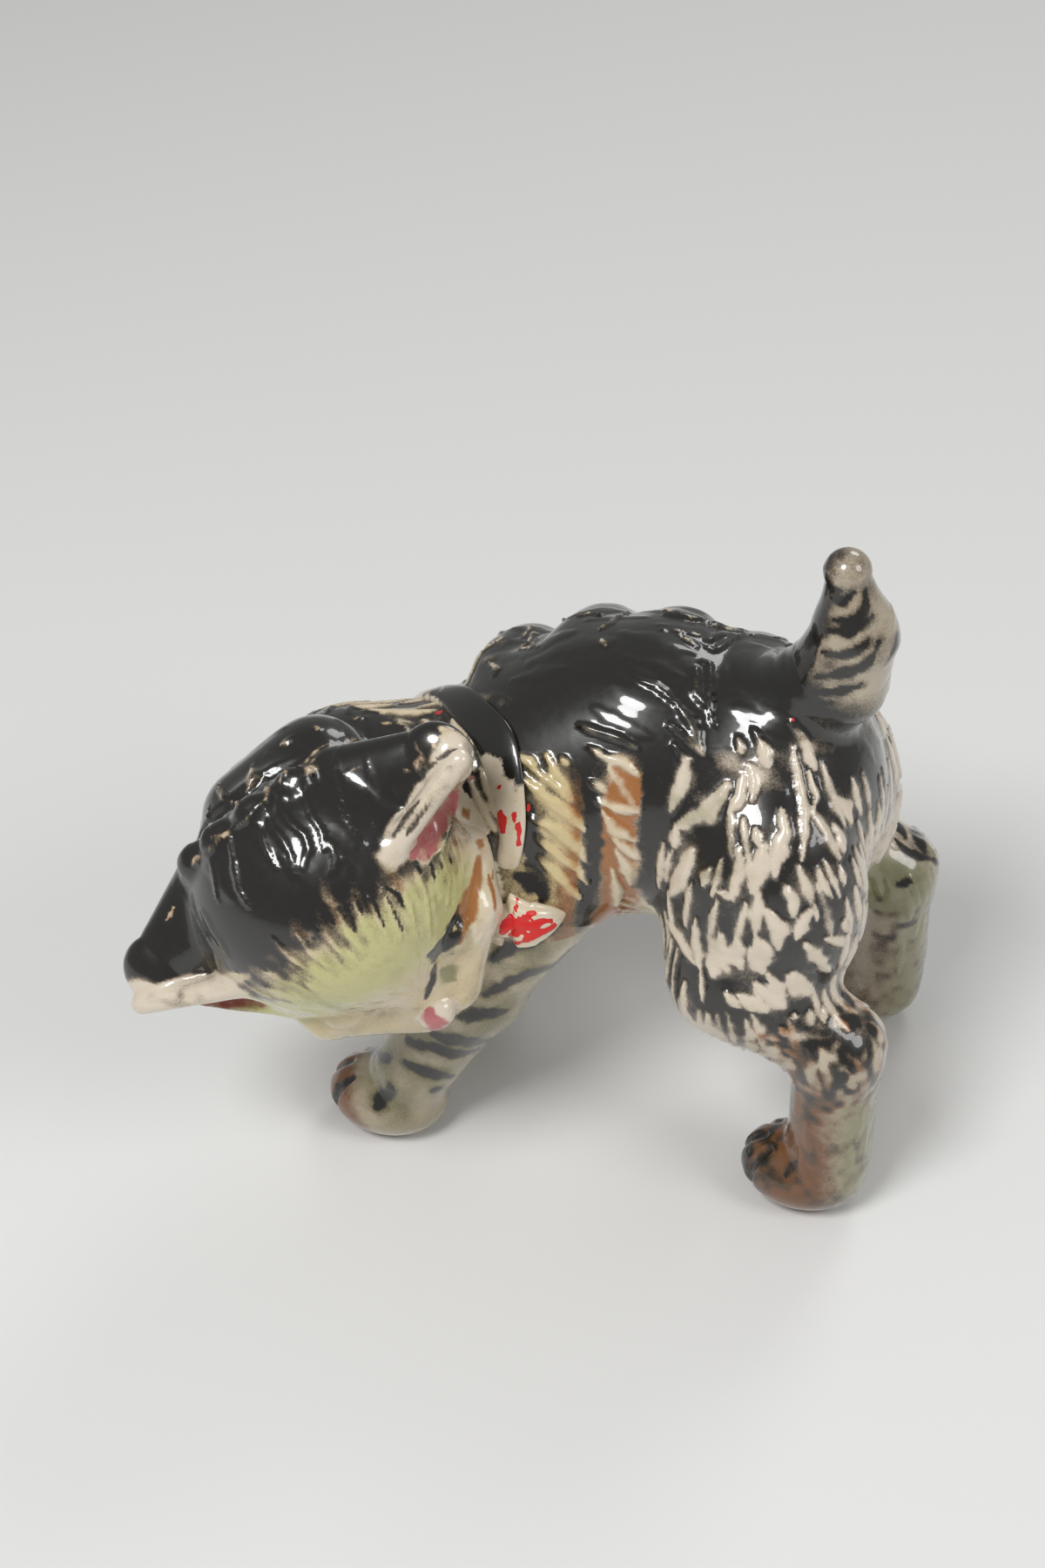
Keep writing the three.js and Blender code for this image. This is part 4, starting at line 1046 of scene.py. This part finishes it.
def new_piece(name, vertices, faces, layers, glaze, normals=None):
    mesh = bpy.data.meshes.new(name)
    mesh.from_pydata(((vertices + KITTEN_AT) * MM).tolist(), [], faces)
    mesh.polygons.foreach_set("use_smooth", [True] * len(mesh.polygons))
    for layer, values in layers.items():
        attribute = mesh.attributes.new(layer, "FLOAT", "POINT")
        attribute.data.foreach_set("value", values.astype(np.float32))
    if normals is not None:
        mesh.normals_split_custom_set_from_vertices(normals.tolist())
    mesh.materials.append(glaze)
    piece = bpy.data.objects.new(name, mesh)
    scene.collection.objects.link(piece)
    return piece


# Glaze: underglaze colours below a clear gloss, and cold paint on top of the ribbon


class Value:
    """A socket that can be reckoned with."""

    def __init__(self, finish, socket):
        self.finish, self.socket = finish, socket

    def maths(self, operation, *values):
        node = self.finish.node("ShaderNodeMath", {"operation": operation}, dict(enumerate(values)))
        return Value(self.finish, node.outputs[0])

    def __add__(self, other):
        return self.maths("ADD", self, other)

    def __sub__(self, other):
        return self.maths("SUBTRACT", self, other)

    def __rsub__(self, other):
        return self.maths("SUBTRACT", other, self)

    def __mul__(self, other):
        return self.maths("MULTIPLY", self, other)

    __radd__, __rmul__ = __add__, __mul__

    def ease(self, low, high):
        settings = {"interpolation_type": "SMOOTHSTEP"}
        inputs = {"Value": self, "From Min": low, "From Max": high}
        return Value(self.finish, self.finish.node("ShaderNodeMapRange", settings, inputs).outputs[0])


class Finish:
    """A material, made node by node."""

    def __init__(self, name, **constants):
        self.material = bpy.data.materials.new(name)
        self.material.use_nodes = True
        self.tree = self.material.node_tree
        self.shader = self.tree.nodes["Principled BSDF"]
        for socket, value in constants.items():
            self.wear(socket.replace("_", " "), value)
        self.place = self.node("ShaderNodeTexCoord", {}, {}).outputs["Object"]

    def node(self, kind, settings, inputs):
        node = self.tree.nodes.new(kind)
        for setting, value in settings.items():
            setattr(node, setting, value)
        for name, value in inputs.items():
            self.feed(node.inputs[name], value)
        return node

    def feed(self, socket, value):
        value = value.socket if isinstance(value, Value) else value
        if isinstance(value, bpy.types.NodeSocket):
            self.tree.links.new(value, socket)
        else:
            socket.default_value = value

    def layer(self, name):
        node = self.node("ShaderNodeAttribute", {"attribute_name": name}, {})
        return Value(self, node.outputs["Fac"])

    def noise(self, size_mm, detail=2.0):
        inputs = {"Vector": self.place, "Scale": 1 / (size_mm * MM), "Detail": detail}
        return Value(self, self.node("ShaderNodeTexNoise", {}, inputs).outputs["Fac"]) - 0.5

    def over(self, below, colour, share):
        """A colour laid over another."""
        inputs = {0: share, 6: below, 7: colour}
        return self.node("ShaderNodeMix", {"data_type": "RGBA"}, inputs).outputs[2]

    def wear(self, socket, value):
        self.feed(self.shader.inputs[socket], value)

    def bumps(self, strength, distance, height):
        inputs = {"Strength": strength, "Distance": distance, "Height": height}
        self.wear("Normal", self.node("ShaderNodeBump", {}, inputs).outputs["Normal"])


WHITE, WARM = (0.70, 0.61, 0.49, 1), (0.62, 0.50, 0.27, 1)
# GREY_AND_SHADE is the greyer glaze of the tail and lower legs, and painted shade low on the legs
OLIVE, LIME, GREY_AND_SHADE = (0.18, 0.19, 0.07, 1), (0.54, 0.53, 0.21, 1), (0.30, 0.25, 0.165, 1)
# SHADED_RUSSET is the russet in painted shade, for the brown low on the legs
RUSSET, SHADED_RUSSET, STAIN = (0.34, 0.115, 0.014, 1), (0.155, 0.052, 0.010, 1), (0.30, 0.10, 0.04, 1)
BLACK, SEPIA = (0.008, 0.007, 0.005, 1), (0.085, 0.05, 0.022, 1)
PINK, RED = (0.42, 0.09, 0.10, 1), (0.64, 0.012, 0.010, 1)
FLOOR_GREY = (0.78, 0.78, 0.77, 1)


def glazed(slot):
    finish = Finish(slot, Coat_Weight=1.0, Coat_Roughness=0.04, Coat_IOR=1.5, IOR=1.45)
    speckle, cloud, drift = finish.noise(0.22, 2), finish.noise(0.9, 3), finish.noise(3.2, 2)
    layer, over = finish.layer, finish.over
    ink = (layer("ink") + cloud * 0.4 + speckle * 0.45).ease(0.2, 0.8)
    thin_ink = (layer("ink") + drift * 0.4 + speckle * 0.4).ease(0.0, 0.55) * 0.7
    colour = over(WHITE, WARM, (layer("cream") + drift * 0.5).ease(0.1, 0.9))
    # Painted shade low on the legs, and the greyer glaze of the legs and tail
    colour = over(colour, GREY_AND_SHADE, (layer("dusk") + drift * 0.3) * 0.8)
    colour = over(colour, LIME, (layer("lime") + drift * 0.4).ease(0.0, 1.1) * 0.85)
    colour = over(colour, OLIVE, (layer("green") + cloud * 0.5).ease(0.15, 0.95) * 0.75)
    # The russet darker lower down, partly painted shade
    russet = over(RUSSET, SHADED_RUSSET, layer("dusk").ease(0.1, 0.8))
    colour = over(colour, russet, (layer("brown") + cloud * 0.6 + speckle * 0.3).ease(0.1, 0.95) * 0.95)
    colour = over(over(colour, SEPIA, thin_ink), BLACK, ink)
    colour = over(colour, PINK, (layer("pink") + cloud * 0.5).ease(0.25, 0.75) * 0.9)
    finish.wear("Base Color", over(colour, RED, (layer("red") + speckle * 0.3).ease(0.5, 0.56)))
    finish.wear("Roughness", 0.3 + cloud * 0.2)
    finish.bumps(0.15, 0.0002, drift * 0.6 + cloud * 0.2)
    return finish.material


def cold_paint():
    """White glaze with black over it, which on the underside of the bow is painted shade, and what is left of
    a red paint brushed on after firing.
    """
    finish = Finish("cold_paint", Coat_Roughness=0.05, Coat_IOR=1.5)
    speckle, cloud, chips = finish.noise(0.2, 3), finish.noise(0.8, 3), finish.noise(0.5, 4)
    layer, over = finish.layer, finish.over
    ink = (layer("ink") + cloud * 0.4 + speckle * 0.4).ease(0.3, 0.7)
    brushed = (layer("red") + chips * 0.55 + speckle * 0.2).ease(0.46, 0.5)
    white = over(WHITE, WARM, (layer("cream") + cloud).ease(0.0, 0.9))
    white = over(white, STAIN, (speckle + cloud * 0.5).ease(0.22, 0.34) * 0.7)
    finish.wear("Base Color", over(over(white, BLACK, ink), RED, brushed))
    finish.wear("Coat Weight", 1 - brushed * 0.75)
    finish.wear("Roughness", 0.28 + brushed * 0.12 + cloud * 0.1)
    finish.bumps(0.5, 0.0001, brushed * 0.8 + cloud * 0.4)
    return finish.material


GLAZES = {slot: glazed(slot) for slot in ("tabby_glaze", "ear_glaze", "leg_glaze", "tail_glaze")}
COLD_PAINT = cold_paint()
SLOTS = {part["node"]: part["material_slot"] for part in frame["record"]["subparts"]}
PAINTED = [name for name in LAYERS if name not in ("lock", "halo", "worn", "glint", "bare")]

for name in CASTINGS:
    used, numbers = np.unique(quads[owner == name].ravel(), return_inverse=True)
    layers = {layer: paint[layer][used] for layer in PAINTED}
    faces = numbers.reshape(-1, 4).tolist()
    piece = new_piece("glazed_" + name, fired[used], faces, layers, GLAZES[SLOTS[name]], shading[used])
    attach(piece, "root")
    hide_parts(name)

# Ribbon and bow


def body_under(x, y):
    """The place on the body's form, without the head, under a pixel of the photograph."""
    ray = ray_through(x, y)
    place = camera_at + ray * 150.0
    for _ in range(200):
        place = place + ray * body(place[None])[0] * 0.8
    return place


def outward_at(place):
    return unit(gradient(body, place[None])[0])


def seat_on(form, origins, directions, reach=24.0, halvings=26):
    """Where rays from inside leave a form."""
    near, far = np.zeros(len(origins)), np.full(len(origins), reach)
    for _ in range(halvings):
        half = (near + far) / 2
        outside = form(origins + directions * half[:, None]) > 0
        near, far = np.where(outside, near, half), np.where(outside, half, far)
    return origins + directions * near[:, None]


def round_turn(steps):
    return np.linspace(0, 2 * math.pi, steps, endpoint=False)


def skinned(rings, closed=False):
    """Rings of points and the quads between them, with flat ends unless the last meets the first."""
    number = np.arange(rings.shape[0] * rings.shape[1]).reshape(rings.shape[:2])
    ahead, after = np.roll(number, -1, 0), np.roll(number, -1, 1)
    faces = np.stack([number, after, np.roll(ahead, -1, 1), ahead], 2)
    if closed:
        return rings.reshape(-1, 3), faces.reshape(-1, 4).tolist()
    ends = [number[0][::-1].tolist(), number[-1].tolist()]
    return rings.reshape(-1, 3), faces[:-1].reshape(-1, 4).tolist() + ends


RIBBON_CENTRE, RIBBON_AXIS = np.array([-21.0, -7.1, 41.3]), unit((-0.72, -0.68, 0.12))
RIBBON_WIDTH, RIBBON_END_WIDTH, RIBBON_THICKNESS, RIBBON_SUNK = 2.9, 1.9, 0.85, 0.5
RIBBON_STEPS, RIBBON_SECTION = 260, 20
ribbon_side = unit(np.cross(RIBBON_AXIS, [0, 0, 1]))
ribbon_up = np.cross(ribbon_side, RIBBON_AXIS)
turns = round_turn(RIBBON_STEPS)
directions = np.cos(turns)[:, None] * ribbon_up + np.sin(turns)[:, None] * ribbon_side
wander = 0.32 + 0.16 * np.sin(3 * turns + 0.6) + 0.1 * np.sin(8 * turns + 2.0)
narrow = ease(np.cos(turns + math.radians(84)), 0.7, 0.97)
widths = RIBBON_WIDTH + (RIBBON_END_WIDTH - RIBBON_WIDTH) * narrow + 0.12 * np.sin(11 * turns)
ribbon_rings = np.zeros((RIBBON_STEPS, RIBBON_SECTION, 3))
for index, slope in enumerate(round_turn(RIBBON_SECTION)):
    sideways = np.cos(slope) * widths / 2 + wander
    lift = abs(np.sin(slope)) ** 0.6 * (RIBBON_THICKNESS if math.sin(slope) > 0 else -RIBBON_SUNK)
    seats = seat_on(throat, RIBBON_CENTRE + sideways[:, None] * RIBBON_AXIS, directions)
    ribbon_rings[:, index] = seats + directions * lift
ribbon_points, ribbon_faces = skinned(ribbon_rings, closed=True)

KNOT_PIXEL, TIP_PIXEL = (581, 1051), (650, 1047)
LOOP_WIDTH, LOOP_THICKNESS, LOOP_CLEFTS = 6.8, 2.6, 4
KNOT_SIZE, KNOT_LIFT, KNOT_END = (3.4, 3.8, 3.2), 0.9, 0.06
knot_at, tip_at = body_under(*KNOT_PIXEL), body_under(*TIP_PIXEL)
facing = unit(outward_at(knot_at) + outward_at(tip_at))
along = unit(tip_at - knot_at)
across = unit(np.cross(facing, along))
facing = np.cross(along, across)


def loop(tip, across, steps=44, sides=36):
    """One loop of the bow: a plump leaf that lies on the body, creased towards its knot."""
    run = np.linspace(0, 1, steps)
    swell = np.clip(run * 6, 0, 1) ** 0.5 * (1 - run**1.6) ** 0.8 + 0.02
    line = knot_at + run[:, None] * (tip - knot_at)
    seats = np.array([place - body(place[None])[0] * outward_at(place) for place in line])
    line = seats + facing * (0.35 + 0.65 * np.sin(math.pi * np.clip(run, 0, 1)))[:, None]
    angles = round_turn(sides)
    offset = np.cos(angles)
    crease = 1 - 0.34 * np.abs(np.sin(offset * LOOP_CLEFTS * math.pi / 2)) ** 3
    high = LOOP_THICKNESS / 2 * np.sin(angles) * np.where(np.sin(angles) > 0, crease, 1)
    return (
        line[:, None, :]
        + (swell * LOOP_WIDTH / 2)[:, None, None] * offset[None, :, None] * across
        + (swell**0.7)[:, None, None] * high[None, :, None] * facing
    )


def knot(steps=28, sides=32):
    """A rounded knot, pinched into folds that run over it from loop to loop."""
    rise = np.linspace(KNOT_END, math.pi - KNOT_END, steps)
    angles = round_turn(sides)
    radial = np.sin(rise)[:, None] * (1 + 0.05 * np.cos(7 * angles))[None, :]
    long, wide, tall = KNOT_SIZE
    length = np.repeat(np.cos(rise)[:, None], sides, 1) * long / 2
    shape = np.stack([length, radial * np.cos(angles) * wide / 2, radial * np.sin(angles) * tall / 2], 2)
    return knot_at + facing * KNOT_LIFT + shape @ np.array((along, across, facing))


bow_points, bow_faces = [], []
for rings in (loop(tip_at, across), loop(knot_at - along * 5.6 - across * 0.8, -across), knot()):
    places, faces = skinned(rings)
    bow_faces += [[corner + len(bow_points) for corner in face] for face in faces]
    bow_points += places.tolist()

RED_BANDS = (
    (19, 575, 934, 577, 955), (10, 590, 934, 595, 948, 597, 960), (6, 597, 958, 596, 972),
    (3, 595, 976, 595, 980), (4, 572, 903, 573, 906),
)
WHITE_BAND = ((40, 563, 884, 574, 912, 586, 940, 594, 965, 602, 1002),)
BOW_STROKES = (
    (6, 590, 1021, 593, 1026, 594, 1038, 590, 1047), (5, 597, 1022, 594, 1032),
    (12, 588, 1064, 600, 1055, 614, 1048), (14, 587, 1073, 604, 1065, 618, 1060, 632, 1057),
    (14, 576, 1072, 581, 1060, 586, 1052), (12, 592, 1082, 612, 1073, 636, 1063),
)
WORN_TOP_HEIGHT = body_under(560, 880)[2]


def red_and_black(name, places, faces, red_strokes, white_strokes, black):
    """A piece of the ribbon, with the colours that are left on it, and black that on the bow's underside is
    painted shade.
    """
    surface = Surface(places, faces)
    surface.draw("red", red_strokes, 1.2, point=0.6)
    surface.draw("cream", white_strokes, 1.3, point=0.9)
    ink = np.clip(black(places) * (1 - surface.layers["cream"]), 0, 1)
    layers = {"ink": ink, "cream": np.full(len(places), 0.3), "red": surface.layers["red"]}
    piece = new_piece(name, places, faces, layers, COLD_PAINT)
    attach(piece, "root")
    return piece


def black_on_top(places):
    drift = grain(places, 2.2, 31) + 0.6 * grain(places, 0.8, 32)
    return ease(places[:, 2] + drift, WORN_TOP_HEIGHT - 1.2, WORN_TOP_HEIGHT + 1.2)


# Painted shade: the bow blackened on its side towards the body
def painted_shade_below(places):
    return ease(-(places - knot_at) @ facing + 0.3 * grain(places, 0.9, 33), 0.4, 1.2)


ribbon = red_and_black("painted_ribbon", ribbon_points, ribbon_faces, RED_BANDS, WHITE_BAND, black_on_top)
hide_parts("collar_ribbon")
bow = red_and_black("painted_bow", np.array(bow_points), bow_faces, BOW_STROKES, (), painted_shade_below)
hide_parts("ribbon_bow")

# Stage, lights and camera

def stand(name, data, place=(0, 0, 0), towards=None):
    """A thing on the stage, turned to look along a direction."""
    thing = bpy.data.objects.new(name, data)
    thing.location = place
    if towards is not None:
        thing.rotation_mode = "QUATERNION"
        thing.rotation_quaternion = Vector(towards).to_track_quat("-Z", "Y")
    scene.collection.objects.link(thing)
    return thing


lens = bpy.data.cameras.new("camera")
lens.sensor_width = SENSOR_MM
lens.lens = SENSOR_MM * FOCAL_PIXELS / max(PHOTO_SIZE)
lens.clip_start, lens.clip_end = 0.01, 10
scene.camera = stand("camera", lens, (camera_at + KITTEN_AT) * MM, -back)

floor_mesh = bpy.data.meshes.new("floor")
corners = [(x * FLOOR_HALF, y * FLOOR_HALF, 0) for x, y in ((-1, -1), (1, -1), (1, 1), (-1, 1))]
floor_mesh.from_pydata(corners, [], [(0, 1, 2, 3)])
floor_mesh.materials.append(Finish("pale_floor", Base_Color=FLOOR_GREY, Roughness=0.7).material)
floor = stand("floor", floor_mesh)

world = bpy.data.worlds.new("studio")
world.use_nodes = True
world.node_tree.nodes["Background"].inputs["Color"].default_value = (1, 1, 1, 1)
world.node_tree.nodes["Background"].inputs["Strength"].default_value = 0.3
scene.world = world

for name, place, size, power in (
    ("key_light", (-0.15, -0.35, 0.55), 0.24, 2.5),
    ("fill_light", (0.45, -0.1, 0.4), 0.25, 0.8),
    ("back_light", (0.1, 0.5, 0.5), 0.25, 0.7),
):
    lamp = bpy.data.lights.new(name, "AREA")
    lamp.shape = "DISK"
    lamp.size, lamp.energy = size, power
    stand(name, lamp, place, (-place[0], -place[1], LIT_HEIGHT - place[2]))
scene.view_settings.view_transform = "Standard"
